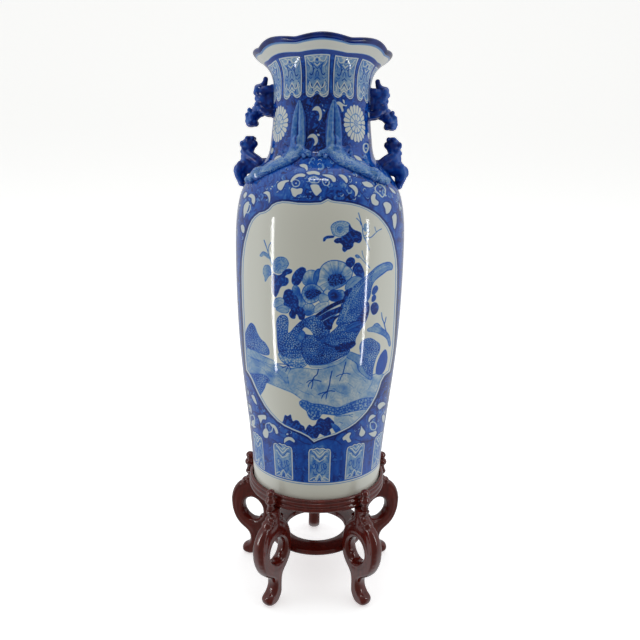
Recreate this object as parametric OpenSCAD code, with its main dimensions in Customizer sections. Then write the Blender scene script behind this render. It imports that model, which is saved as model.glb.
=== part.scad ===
// Blue and white porcelain baluster vase on a carved five-legged wooden stand.
// Millimetres, +Z up. Origin on the floor under the vase's axis, front of the vase towards -Y.
// The stand is one assembly of wooden pieces; the vase lifts straight up out of its ring.

/* [Vase] */
// Height of the vase from its foot rim to the lip
vase_height = 609.5; // [400:900]
// Largest radius of the body
body_r = 119.5; // [80:180]
// Radius of the neck at its narrowest
neck_r = 67.5; // [40:110]
// Radius of the lip at the crest of a lobe
lip_r = 96; // [60:150]
// Radius of the foot rim where it stands
foot_r = 93.8; // [60:130]
// Thickness of the porcelain wall
wall = 6.5; // [4:0.5:12]
// Thickness of the base inside the foot rim
base_thick = 9; // [5:16]
// Number of lobes around the lip
lip_lobes = 8; // [4:16]
// Depth of the notch between two lobes
lobe_depth = 4.5; // [2:0.5:8]
// Angle of the vase on its seat, about +Z
vase_turn = -7.7; // [-45:45]

/* [Stand] */
// Height of the seat face that the foot rim rests on
seat_z = 149; // [90:200]
// Outer radius of the turned ring
ring_r = 100.5; // [80:130]
// Height of the ring's lip above the seat
lip_up = 8; // [3:15]
// Radius of the pocket that takes the foot rim
pocket_r = 95.6; // [70:120]
// Depth of the ring below the seat
ring_down = 10; // [6:20]
// Thickness of the seat board
board_thick = 5; // [3:12]
// Radius of the seat board
board_r = 89.8; // [60:100]

/* [Legs] */
// Number of legs
legs = 5; // [3:8]
// Thickness of a leg across its face
leg_thick = 19; // [8:30]
// Radius from the axis to the centre of a leg's loop
loop_r = 104.3; // [70:140]
// Height of the centre of a leg's loop
loop_z = 82; // [40:110]
// Half width of the loop outside
loop_a = 34; // [18:45]
// Half height of the loop outside
loop_b = 37.5; // [20:60]
// Half width of the loop's opening
hole_a = 16.8; // [8:30]
// Half height of the loop's opening
hole_b = 17.8; // [10:40]
// Radius from the axis to the knob on each leg
knob_r = 108.6; // [80:140]
// Radius of the knob's lower bulge
knob_big = 6.9; // [3:12]

/* [Stretcher] */
// Inner radius of the stretcher ring
stretch_in = 44.5; // [20:80]
// Outer radius of the stretcher ring
stretch_out = 71; // [40:100]
// Height of the stretcher's underside
stretch_z = 60; // [20:90]
// Thickness of the stretcher
stretch_thick = 7.5; // [4:15]
// Width of a stretcher tenon
tenon_w = 8; // [4:14]

/* [Ornament] */
// Radius of the relief dragons' bodies
dragon_r = 7; // [3:10]
// Radius of a leg dowel
dowel_r = 2.5; // [1.5:5]

/* [Output] */
// Sub-part to show

/* [Hidden] */
e = 0.01;
ring_bottom = seat_z - ring_down;
ring_top = seat_z + lip_up;
board_z = seat_z - board_thick;
// angle of each leg from the front, positive towards +X
a_front_left = -180 / legs;
a_front_right = 180 / legs;
a_side_left = -540 / legs;
a_side_right = 540 / legs;
a_back = 180;
// thrown outline of the vase, [share of the body radius, share of the height]
outline = [
  [foot_r / body_r, 0], [0.797, 0.036], [0.823, 0.104], [0.864, 0.172], [0.906, 0.240],
  [0.942, 0.308], [0.971, 0.376], [0.987, 0.445], [0.997, 0.513], [1, 0.575],
  [0.995, 0.615], [0.980, 0.649], [0.945, 0.683], [0.914, 0.700], [0.869, 0.717],
  [0.803, 0.734], [0.710, 0.751], [0.637, 0.768], [0.606, 0.785], [0.584, 0.819],
  [neck_r / body_r, 0.860], [neck_r / body_r, 0.922], [0.583, 0.947], [0.636, 0.964],
  [0.714, 0.981], [lip_r / body_r, 1]];
outer = [for (p = outline) [p[0] * body_r, seat_z + p[1] * vase_height]];
n = len(outer);
inner = [for (i = [n - 1:-2:3]) [outer[i][0] - wall - (i == n - 1 ? 3 : 0), outer[i][1]]];

// place children at angle a from the front, radius r, height z
module at(a, r, z) rotate([0, 0, a]) translate([0, -r, z]) children();

// ---------------------------------------------------------------- vase
module vase_shape() {
  rotate_extrude($fn = 64) polygon(concat(
    [[0, seat_z + 6 + e], [foot_r - 9, seat_z + 6], [foot_r - 7, seat_z]],
    outer,
    inner,
    [[foot_r - wall, seat_z + 6 + base_thick + 6], [foot_r - wall - 8, seat_z + 6 + base_thick],
     [0, seat_z + 6 + base_thick]]));
}

// thrown and fired body with a lobed, flared lip, a hair clear of the seat all round
module vase_body() {
  color([0.16, 0.27, 0.56]) rotate([0, 0, vase_turn]) difference() {
    translate([0, 0, 0.03]) vase_shape();
    for (i = [0:lip_lobes - 1]) rotate([0, 0, (i + 0.5) * 360 / lip_lobes])
      translate([0, -(lip_r + 22 - lobe_depth), seat_z + vase_height - 14])
        cylinder(r = 22, h = 30, $fn = 32);
  }
}

module ball(p, r) translate(p) sphere(r = r, $fn = 16);
module limb(p, q, r) {
  d = q - p;
  l = norm(d);
  translate(p) rotate([0, acos(d[2] / l), atan2(d[1], d[0])]) cylinder(r = r, h = l, $fn = 16);
}

// guardian lion on the neck, haunches up and head hanging outwards, pointing to +X
module lion_upper() {
  color([0.06, 0.11, 0.36]) union() {
    ball([84, 0, 705], 9.6);
    limb([84, 0, 704], [82.5, 0, 684], 9);
    ball([83, 0, 684], 10.1);
    limb([66, 0, 702], [84, 0, 706], 7.8);
    limb([66, 0, 680], [82, 0, 683], 7.8);
    limb([68, 0, 691], [82, 0, 694], 8.4);
    limb([81, 0, 708], [77, 0, 719], 4.5);
    ball([77, 0, 719.5], 5.1);
    limb([83, 0, 682], [95, 0, 672], 8.6);
    ball([96, 0, 671], 10.6);
    ball([97, 5.4, 664.5], 6.2);
    ball([97, -5.4, 664.5], 6.2);
  }
}

// guardian lion on the shoulder, head raised and hind feet on the shoulder, pointing to +X
module lion_lower() {
  color([0.06, 0.11, 0.36]) union() {
    ball([101.5, 0, 634], 11.4);
    limb([101, 0, 632], [99, 0, 612], 9.4);
    ball([99, 0, 610], 10.6);
    limb([74, 0, 608], [97, 0, 609], 8.3);
    limb([98, 0, 609], [111, 0, 598.5], 8);
    ball([112, 0, 598], 9.2);
    limb([113, 5.2, 597], [112, 5.2, 582.5], 4.5);
    limb([113, -5.2, 597], [112, -5.2, 582.5], 4.5);
    ball([112, 5.2, 582], 5.1);
    ball([112, -5.2, 582], 5.1);
  }
}

module lion_upper_right() rotate([0, 0, vase_turn]) lion_upper();
module lion_upper_left() rotate([0, 0, vase_turn]) mirror([1, 0, 0]) lion_upper();
module lion_lower_right() rotate([0, 0, vase_turn]) lion_lower();
module lion_lower_left() rotate([0, 0, vase_turn]) mirror([1, 0, 0]) lion_lower();

// point on the vase at angle a, radius r, height z
function on(a, r, z) = [r * sin(a), -r * cos(a), z];

// relief dragon: split tail down the neck, body across the shoulder, head turned outwards
module dragon() {
  tail_top = on(19, 66.5, 680);
  tail_end = on(19, 69.5, 627);
  hip = on(19.5, 76.5, 613);
  mid = on(31, 87.5, 601);
  neck_p = on(42, 97, 592);
  head_p = on(51, 101, 586.5);
  foot_1 = on(5, 75, 616.5);
  foot_2 = on(34, 72, 623);
  color([0.42, 0.55, 0.74]) union() {
    limb(tail_top, tail_end, dragon_r);
    ball(tail_end, dragon_r + 0.6);
    limb(tail_end, hip, dragon_r);
    ball(hip, dragon_r + 1.4);
    limb(hip, mid, dragon_r + 0.5);
    ball(mid, dragon_r + 1.2);
    limb(mid, neck_p, dragon_r);
    ball(neck_p, dragon_r + 0.7);
    limb(neck_p, head_p, dragon_r);
    ball(head_p, dragon_r + 2);
    limb(hip, foot_1, dragon_r - 1.5);
    ball(foot_1, dragon_r - 0.5);
    limb(hip, foot_2, dragon_r - 1.5);
    ball(foot_2, dragon_r - 0.5);
  }
}

module dragon_front_right() rotate([0, 0, vase_turn]) dragon();
module dragon_front_left() rotate([0, 0, vase_turn]) mirror([1, 0, 0]) dragon();
module dragon_back_right() rotate([0, 0, vase_turn + 180]) mirror([1, 0, 0]) dragon();
module dragon_back_left() rotate([0, 0, vase_turn + 180]) dragon();

// ---------------------------------------------------------------- stand
// turned ring with a pocket for the foot rim and a rabbet for the seat board
module stand_ring() {
  color([0.36, 0.12, 0.08]) difference() {
    rotate_extrude($fn = 72) polygon([
      [82, ring_bottom], [ring_r - 2.5, ring_bottom], [ring_r - 0.8, ring_bottom + 2],
      [ring_r - 2.2, ring_bottom + 5], [ring_r, ring_bottom + 8], [ring_r, ring_bottom + 12],
      [ring_r - 1.8, ring_bottom + 14], [ring_r - 1.2, ring_top - 1.5], [ring_r - 2.4, ring_top],
      [pocket_r, ring_top], [pocket_r, seat_z], [board_r + 0.2, seat_z],
      [board_r + 0.2, board_z], [82, board_z]]);
    for (i = [0:legs - 1]) at(a_front_right + i * 360 / legs, 96, ring_bottom - e)
      cylinder(r = dowel_r, h = 5.8 + e, $fn = 24);
  }
}

// board let into the ring, under the vase
module seat_board() {
  color([0.30, 0.10, 0.07]) translate([0, 0, board_z]) cylinder(r = board_r, h = board_thick, $fn = 72);
}

// flat ring low between the legs, with a tenon into each loop
module stretcher_ring() {
  color([0.33, 0.11, 0.08]) difference() {
    union() {
      translate([0, 0, stretch_z]) cylinder(r = stretch_out, h = stretch_thick, $fn = 72);
      for (i = [0:legs - 1]) rotate([0, 0, a_front_right + i * 360 / legs])
        translate([-tenon_w / 2, -81, stretch_z + 0.9]) cube([tenon_w, 30, stretch_thick - 1.8]);
    }
    translate([0, 0, stretch_z - 1]) cylinder(r = stretch_in, h = stretch_thick + 2, $fn = 72);
  }
}

// oval leaning inwards at its foot
module oval(a, b, k) polygon([for (i = [0:k - 1])
  [a * cos(i * 360 / k) + 0.12 * b * sin(i * 360 / k), b * sin(i * 360 / k)]]);

// plank outlines of a leg, x outwards from the axis and y up
module loop_outline() difference() {
  translate([loop_r, loop_z]) oval(loop_a, loop_b, 60);
  translate([loop_r - 3, loop_z - 4]) oval(hole_a, hole_b, 44);
}
module head_outline() polygon([[91, 104], [110, 104], [108, ring_bottom - 18],
  [111, ring_bottom - 10], [115.5, ring_bottom - 6], [116, ring_bottom], [91, ring_bottom]]);
module foot_outline() polygon([[101, 0], [113, 0], [119.5, 4], [120, 9.5], [117, 15], [110.5, 18],
  [106.5, 23], [106.5, 32], [110, 42], [119, 52], [82, 52], [91, 40], [92.5, 30], [92, 18],
  [94, 10], [97, 4]]);
// a plank of leg thickness, its outline's x pointing outwards along -Y
module plank() translate([leg_thick / 2, 0, 0]) rotate([0, 0, -90]) rotate([90, 0, 0])
  linear_extrude(height = leg_thick) children();

// one carved scroll leg at angle a
module leg(a) {
  color([0.38, 0.13, 0.09]) rotate([0, 0, a]) difference() {
    union() {
      plank() loop_outline();
      plank() head_outline();
      plank() foot_outline();
    }
    translate([-tenon_w / 2, -81, stretch_z + 0.9]) cube([tenon_w, 30, stretch_thick - 1.8]);
    translate([0, -96, ring_bottom - 14]) cylinder(r = dowel_r, h = 20, $fn = 24);
    translate([0, -knob_r, ring_bottom - 9]) cylinder(r = dowel_r, h = 20, $fn = 24);
  }
}

module leg_front_left() leg(a_front_left);
module leg_front_right() leg(a_front_right);
module leg_side_left() leg(a_side_left);
module leg_side_right() leg(a_side_right);
module leg_back() leg(a_back);

// turned knob on top of a leg, with a spigot let into the leg
module knob(a) {
  color([0.42, 0.14, 0.09]) at(a, knob_r, ring_bottom) rotate_extrude($fn = 24) polygon([
    [0, -8.5], [dowel_r, -8.5], [dowel_r, 0], [4.6, 0], [4.2, 6.2], [knob_big, 10.6], [knob_big, 15.6],
    [4.4, 19], [5.6, 22.2], [4.6, 26.2], [2, 28.5], [0, 28.9]]);
}

module knob_front_left() knob(a_front_left);
module knob_front_right() knob(a_front_right);
module knob_side_left() knob(a_side_left);
module knob_side_right() knob(a_side_right);
module knob_back() knob(a_back);

// dowels that join the legs to the ring
module leg_dowels() {
  color([0.62, 0.45, 0.28]) for (i = [0:legs - 1])
    at(a_front_right + i * 360 / legs, 96, ring_bottom - 13.5)
      cylinder(r = dowel_r, h = 19, $fn = 24);
}

vase_body();
lion_upper_left();
lion_upper_right();
lion_lower_left();
lion_lower_right();
dragon_front_left();
dragon_front_right();
dragon_back_left();
dragon_back_right();
stand_ring();
seat_board();
stretcher_ring();
leg_front_left();
leg_front_right();
leg_side_left();
leg_side_right();
leg_back();
knob_front_left();
knob_front_right();
knob_side_left();
knob_side_right();
knob_back();
leg_dowels();
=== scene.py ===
import bpy, bmesh, math, random
import numpy as np
from mathutils import Matrix, Vector
from mathutils.geometry import delaunay_2d_cdt


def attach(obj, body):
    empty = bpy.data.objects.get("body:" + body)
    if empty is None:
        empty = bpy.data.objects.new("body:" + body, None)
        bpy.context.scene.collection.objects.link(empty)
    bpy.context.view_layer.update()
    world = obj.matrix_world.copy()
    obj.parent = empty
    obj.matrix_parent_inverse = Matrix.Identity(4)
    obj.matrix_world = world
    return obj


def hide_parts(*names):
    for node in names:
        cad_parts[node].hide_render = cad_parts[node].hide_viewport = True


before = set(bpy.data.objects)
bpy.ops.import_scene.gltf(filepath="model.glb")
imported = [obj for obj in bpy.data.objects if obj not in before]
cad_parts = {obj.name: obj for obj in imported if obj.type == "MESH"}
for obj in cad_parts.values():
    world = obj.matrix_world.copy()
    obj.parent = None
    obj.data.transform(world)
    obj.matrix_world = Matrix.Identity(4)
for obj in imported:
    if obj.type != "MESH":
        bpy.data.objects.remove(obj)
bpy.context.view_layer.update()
MM = 0.001
VIEW = -1.7                      # the picture was taken this far round the stand, degrees
TURN = -6.0 + VIEW               # the vase is turned a little on its stand, degrees
SCENE = bpy.context.scene


# ---------------------------------------------------------------- the view of the work order's picture
EYE = np.array([1.0, -808.2, 541.9])      # mm
PITCH, ROLL, FOCAL = math.radians(-7.46), math.radians(0.87), 561.8
CX, CY = 320.0, 285.0
_f = np.array([0, math.cos(PITCH), math.sin(PITCH)])
_u0 = np.array([0, -math.sin(PITCH), math.cos(PITCH)])
_r0 = np.array([1.0, 0, 0])
_r = math.cos(ROLL) * _r0 + math.sin(ROLL) * _u0
_u = -math.sin(ROLL) * _r0 + math.cos(ROLL) * _u0


def seen(x, y, z, eye_x=2.7):
    """Where a point in mm falls in the view, in steps of 1/640 of the frame."""
    d = (x - eye_x, y - EYE[1], z - EYE[2])
    deep = d[0] * _f[0] + d[1] * _f[1] + d[2] * _f[2]
    a = d[0] * _r[0] + d[1] * _r[1] + d[2] * _r[2]
    b = d[0] * _u[0] + d[1] * _u[1] + d[2] * _u[2]
    return CX + FOCAL * a / deep, CY - FOCAL * b / deep


# ---------------------------------------------------------------- vase profile
SHARE = [(0.786, 0), (0.790, 0.019), (0.7965, 0.036), (0.809, 0.070), (0.843, 0.138), (0.885, 0.206),
         (0.925, 0.274), (0.958, 0.342), (0.980, 0.411), (0.993, 0.479), (1, 0.555), (0.995, 0.615),
         (0.980, 0.649), (0.965, 0.666), (0.945, 0.683), (0.914, 0.700), (0.869, 0.717), (0.803, 0.734),
         (0.710, 0.751), (0.637, 0.768), (0.606, 0.785), (0.584, 0.819), (0.568, 0.8535), (0.565, 0.888),
         (0.564, 0.922), (0.572, 0.939), (0.603, 0.956), (0.668, 0.972)]
PROFILE = [(r, z + 2.5 * min(max((z - 712) / 36, 0), 1)) for r, z in [(119.5 * a, 149 + 607 * b) for a, b in SHARE] + [(87.6, 745.3), (91.6, 748.4), (94.5, 750.1)]]


def spline(points, step):
    """Catmull-Rom through points, centripetal, then even steps."""
    p = np.array(points, float)
    p = np.vstack([2 * p[0] - p[1], p, 2 * p[-1] - p[-2]])
    out = []
    for i in range(1, len(p) - 2):
        p0, p1, p2, p3 = p[i - 1], p[i], p[i + 1], p[i + 2]
        t = [0]
        for a, b in ((p0, p1), (p1, p2), (p2, p3)):
            t.append(t[-1] + max(1e-6, np.linalg.norm(b - a)) ** 0.5)
        for s in np.linspace(t[1], t[2], 14, endpoint=False):
            a1 = (t[1] - s) / (t[1] - t[0]) * p0 + (s - t[0]) / (t[1] - t[0]) * p1
            a2 = (t[2] - s) / (t[2] - t[1]) * p1 + (s - t[1]) / (t[2] - t[1]) * p2
            a3 = (t[3] - s) / (t[3] - t[2]) * p2 + (s - t[2]) / (t[3] - t[2]) * p3
            b1 = (t[2] - s) / (t[2] - t[0]) * a1 + (s - t[0]) / (t[2] - t[0]) * a2
            b2 = (t[3] - s) / (t[3] - t[1]) * a2 + (s - t[1]) / (t[3] - t[1]) * a3
            out.append((t[2] - s) / (t[2] - t[1]) * b1 + (s - t[1]) / (t[2] - t[1]) * b2)
    out.append(p[-2])
    out = np.array(out)
    ln = np.concatenate([[0], np.cumsum(np.linalg.norm(np.diff(out, axis=0), axis=1))])
    k = max(2, int(round(ln[-1] / step)) + 1)
    s = np.linspace(0, ln[-1], k)
    return np.column_stack([np.interp(s, ln, out[:, j]) for j in range(out.shape[1])])


FINE = spline(PROFILE, 0.5)


def radius_at(z):
    return np.interp(z, FINE[:, 1], FINE[:, 0])


LIP_C, LIP_R = (92.9, 755.4), 3.1


def outer_rows(step):
    """Outer profile from the foot to over the lip: rows of (r, z)."""
    body = spline(PROFILE, step)
    foot = [(91.4, 149.0), (92.9, 149.4), (93.7, 150.6)]
    body = body[body[:, 1] > 151.2]
    k = max(5, int(9 / step))
    arc = [(LIP_C[0] + LIP_R * math.cos(t), LIP_C[1] + LIP_R * math.sin(t))
           for t in np.linspace(math.radians(-58), math.radians(178), k)][1:]
    return np.array(foot + [tuple(q) for q in body] + arc)


def lobed(r, z, th):
    """Turns the plain profile into the lobed rim: eight scallops with narrow dips."""
    k = np.clip((z - 706) / 46, 0, 1) ** 2.2
    c = np.abs(np.cos(np.radians(4 * (th - 0.5))))
    dip = 1 - np.sqrt(c * c * 0.985 + 0.015)
    dip = dip ** 0.85
    return r - 3.6 * k * dip, z - 3.6 * k * dip


# ---------------------------------------------------------------- painting
def noise2(x, y, seed=0):
    """Smooth value noise, 0 to 1."""
    xi, yi = np.floor(x).astype(np.int64), np.floor(y).astype(np.int64)
    fx, fy = x - xi, y - yi
    fx, fy = fx * fx * (3 - 2 * fx), fy * fy * (3 - 2 * fy)

    def h(a, b):
        n = (a * 374761393 + b * 668265263 + seed * 974711) & 0xFFFFFFFF
        n = ((n ^ (n >> 13)) * 1274126177) & 0xFFFFFFFF
        return ((n ^ (n >> 16)) & 0xFFFF) / 65535.0
    return ((h(xi, yi) * (1 - fx) + h(xi + 1, yi) * fx) * (1 - fy)
            + (h(xi, yi + 1) * (1 - fx) + h(xi + 1, yi + 1) * fx) * fy)


def cells(x, y, size, seed=0, edge=False):
    """Distance to the nearest of scattered points, in cell sizes, or the margin to the next: scales and stipple."""
    gx, gy = x / size, y / size
    xi, yi = np.floor(gx).astype(np.int64), np.floor(gy).astype(np.int64)
    f1, f2 = np.full(np.shape(x), 9.0), np.full(np.shape(x), 9.0)
    for dx in (-1, 0, 1):
        for dy in (-1, 0, 1):
            a, b = xi + dx, yi + dy
            n = (a * 374761393 + b * 668265263 + seed * 69069 + 12345) & 0xFFFFFFFF
            n = ((n ^ (n >> 13)) * 1274126177) & 0xFFFFFFFF
            n = ((n ^ (n >> 16)) * 2246822519) & 0xFFFFFFFF
            n = n ^ (n >> 13)
            px = a + ((n & 0x3FF) / 1023.0)
            py = b + (((n >> 10) & 0x3FF) / 1023.0)
            d = np.hypot(gx - px, gy - py)
            f2 = np.minimum(f2, np.maximum(f1, d)); f1 = np.minimum(f1, d)
    return f2 - f1 if edge else f1


def ease(pts, closed=True, n=5):
    """Rounds a given outline."""
    p = np.array(pts, float)
    k = len(p)
    if k < 3:
        return p
    out = []
    rng = range(k if closed else k - 1)
    for i in rng:
        if closed:
            a, b, c, d = p[(i - 1) % k], p[i], p[(i + 1) % k], p[(i + 2) % k]
        else:
            a, b, c, d = p[max(i - 1, 0)], p[i], p[i + 1], p[min(i + 2, k - 1)]
        for t in np.linspace(0, 1, n, endpoint=False):
            out.append(0.5 * ((2 * b) + (c - a) * t + (2 * a - 5 * b + 4 * c - d) * t * t
                              + (3 * b - a - 3 * c + d) * t ** 3))
    if not closed:
        out.append(p[-1])
    return np.array(out)


def edge_distance(p, x, y, closed=True):
    k = len(p)
    d = np.full(x.shape, 1e9)
    for i in range(k if closed else k - 1):
        a, b = p[i], p[(i + 1) % k]
        ex, ey = b[0] - a[0], b[1] - a[1]
        l2 = ex * ex + ey * ey
        if l2 < 1e-12:
            continue
        t = np.clip(((x - a[0]) * ex + (y - a[1]) * ey) / l2, 0, 1)
        d = np.minimum(d, (x - a[0] - t * ex) ** 2 + (y - a[1] - t * ey) ** 2)
    return np.sqrt(d)


def inside(p, x, y):
    k = len(p)
    odd = np.zeros(x.shape, bool)
    for i in range(k):
        a, b = p[i], p[(i + 1) % k]
        if a[1] == b[1]:
            continue
        c = (a[1] > y) != (b[1] > y)
        odd ^= c & (x < (b[0] - a[0]) * (y - a[1]) / (b[1] - a[1]) + a[0])
    return odd


class Sheet:
    """One painted surface: ink at every point of a grid, drawn on in chosen coordinates."""

    def __init__(self, x, y, ink, soft=0.35, where=None):
        self.x, self.y, self.ink, self.soft = x, y, ink, soft
        self.where = where

    def window(self, p, m):
        lo, hi = p.min(0) - m, p.max(0) + m
        w = (self.x > lo[0]) & (self.x < hi[0]) & (self.y > lo[1]) & (self.y < hi[1])
        if self.where is not None:
            w &= self.where
        return np.nonzero(w.ravel())[0]

    def area(self, pts, val, line=None, lw=0.7, round_=True, inset=0.0, shade=None, n=5):
        """Fills an outline with ink val; line draws its edge in another ink."""
        p = ease(pts, True, n) if round_ else np.array(pts, float)
        idx = self.window(p, 1 + lw)
        if len(idx) == 0:
            return
        x, y = self.x.ravel()[idx], self.y.ravel()[idx]
        d = edge_distance(p, x, y)
        sd = np.where(inside(p, x, y), -d, d) + inset
        cov = np.clip(0.5 - sd / (2 * self.soft), 0, 1)
        v = shade(x, y, sd) if shade is not None else val
        t = self.ink.ravel()
        t[idx] = t[idx] * (1 - cov) + v * cov
        if line is not None:
            c = np.clip((lw / 2 - np.abs(sd)) / (2 * self.soft) + 0.5, 0, 1)
            t[idx] = t[idx] * (1 - c) + line * c

    def line(self, pts, val, w=0.6, round_=True, closed=False, taper=False, n=5):
        p = ease(pts, closed, n) if round_ else np.array(pts, float)
        idx = self.window(p, 1 + w)
        if len(idx) == 0:
            return
        x, y = self.x.ravel()[idx], self.y.ravel()[idx]
        d = edge_distance(p, x, y, closed)
        c = np.clip((w / 2 - d) / (2 * self.soft) + 0.5, 0, 1)
        t = self.ink.ravel()
        t[idx] = t[idx] * (1 - c) + val * c

    def dot(self, c, r, val, ry=None):
        q = [(c[0] + r * math.cos(a), c[1] + (ry or r) * math.sin(a)) for a in np.linspace(0, 2 * math.pi, 13)[:-1]]
        self.area(q, val, round_=False)


def kc(pts):                       # shoulder drawing
    return [(220 + x / 7.84, 10 + y / 7.84) for x, y in pts]


def ka(pts):                       # upper part of the front picture
    return [(220 + x / 7.84, 180 + y / 7.84) for x, y in pts]


def kb(pts):                       # lower part of the front picture
    return [(220 + x / 7.84, 350 + y / 7.84) for x, y in pts]


GROUND, DARK, MIDDLE, WASH, PALE, WHITE = 0.70, 0.95, 0.55, 0.36, 0.22, 0.0

PANEL = [(326.5, 198.6), (319.5, 202.3), (308, 203), (296.5, 202.7), (288, 201.4), (281.2, 201), (275, 202.3),
         (270.6, 204.6), (267.3, 208.6), (263.5, 211.2), (258.0, 212.6), (253.6, 216), (250.2, 220), (247.3, 226),
         (245.3, 233), (242.9, 242), (241.7, 250), (240.6, 260), (240.2, 275), (240.4, 290), (241, 307.6), (242, 326),
         (243, 345.8), (243.8, 358), (244.9, 370), (247.6, 374.4), (250.6, 380), (253.3, 386.6), (257, 394.5),
         (263.4, 406), (269, 413.6), (276.1, 421.0), (283, 426), (291.4, 430.0), (299, 433), (306.7, 437),
         (312.7, 442.2), (316.5, 440.4), (322, 438.4), (334.8, 434.4), (347.6, 428.0), (354.4, 423.3), (360.3, 417.8),
         (366, 411.4), (370.5, 405), (375, 396.5), (378.2, 388.3), (380.3, 381.4), (383.4, 375.8), (388.8, 371.3),
         (391.2, 358), (392.8, 345.8), (394, 326), (394.9, 307.6), (395.8, 288), (396.0, 269.3), (395.4, 259),
         (394.1, 250.2), (392.4, 241.5), (389.8, 233.6), (386.8, 227.3), (382.6, 221.4), (378, 216.2), (372.6, 212),
         (366, 208.3), (358.6, 205.2), (350, 203), (341, 201.8), (334.8, 201.2), (330.5, 200.4)]


def scales(s, size=2.3, seed=3, base=0.5, dark=0.86, light=0.30):
    def shade(x, y, sd):
        e = cells(x, y, size, seed, True)
        c = cells(x, y, size, seed)
        v = base + (dark - base) * np.clip((0.30 - e) / 0.16, 0, 1)
        v = v + (light - v) * np.clip((0.30 - c) / 0.10, 0, 1) * 0.9
        return v + 0.20 * (noise2(x * 0.10, y * 0.10, seed) - 0.5)
    return shade


def flower(cx, cy, r0, r1, deep, edge):
    def shade(x, y, sd):
        d = np.hypot(x - cx, y - cy)
        a = np.arctan2(y - cy, x - cx)
        v = deep + (edge - deep) * np.clip((d - r0) / (r1 - r0), 0, 1)
        return v + 0.07 * np.sin(a * 17) * np.clip(d / r1, 0, 1)
    return shade


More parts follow.
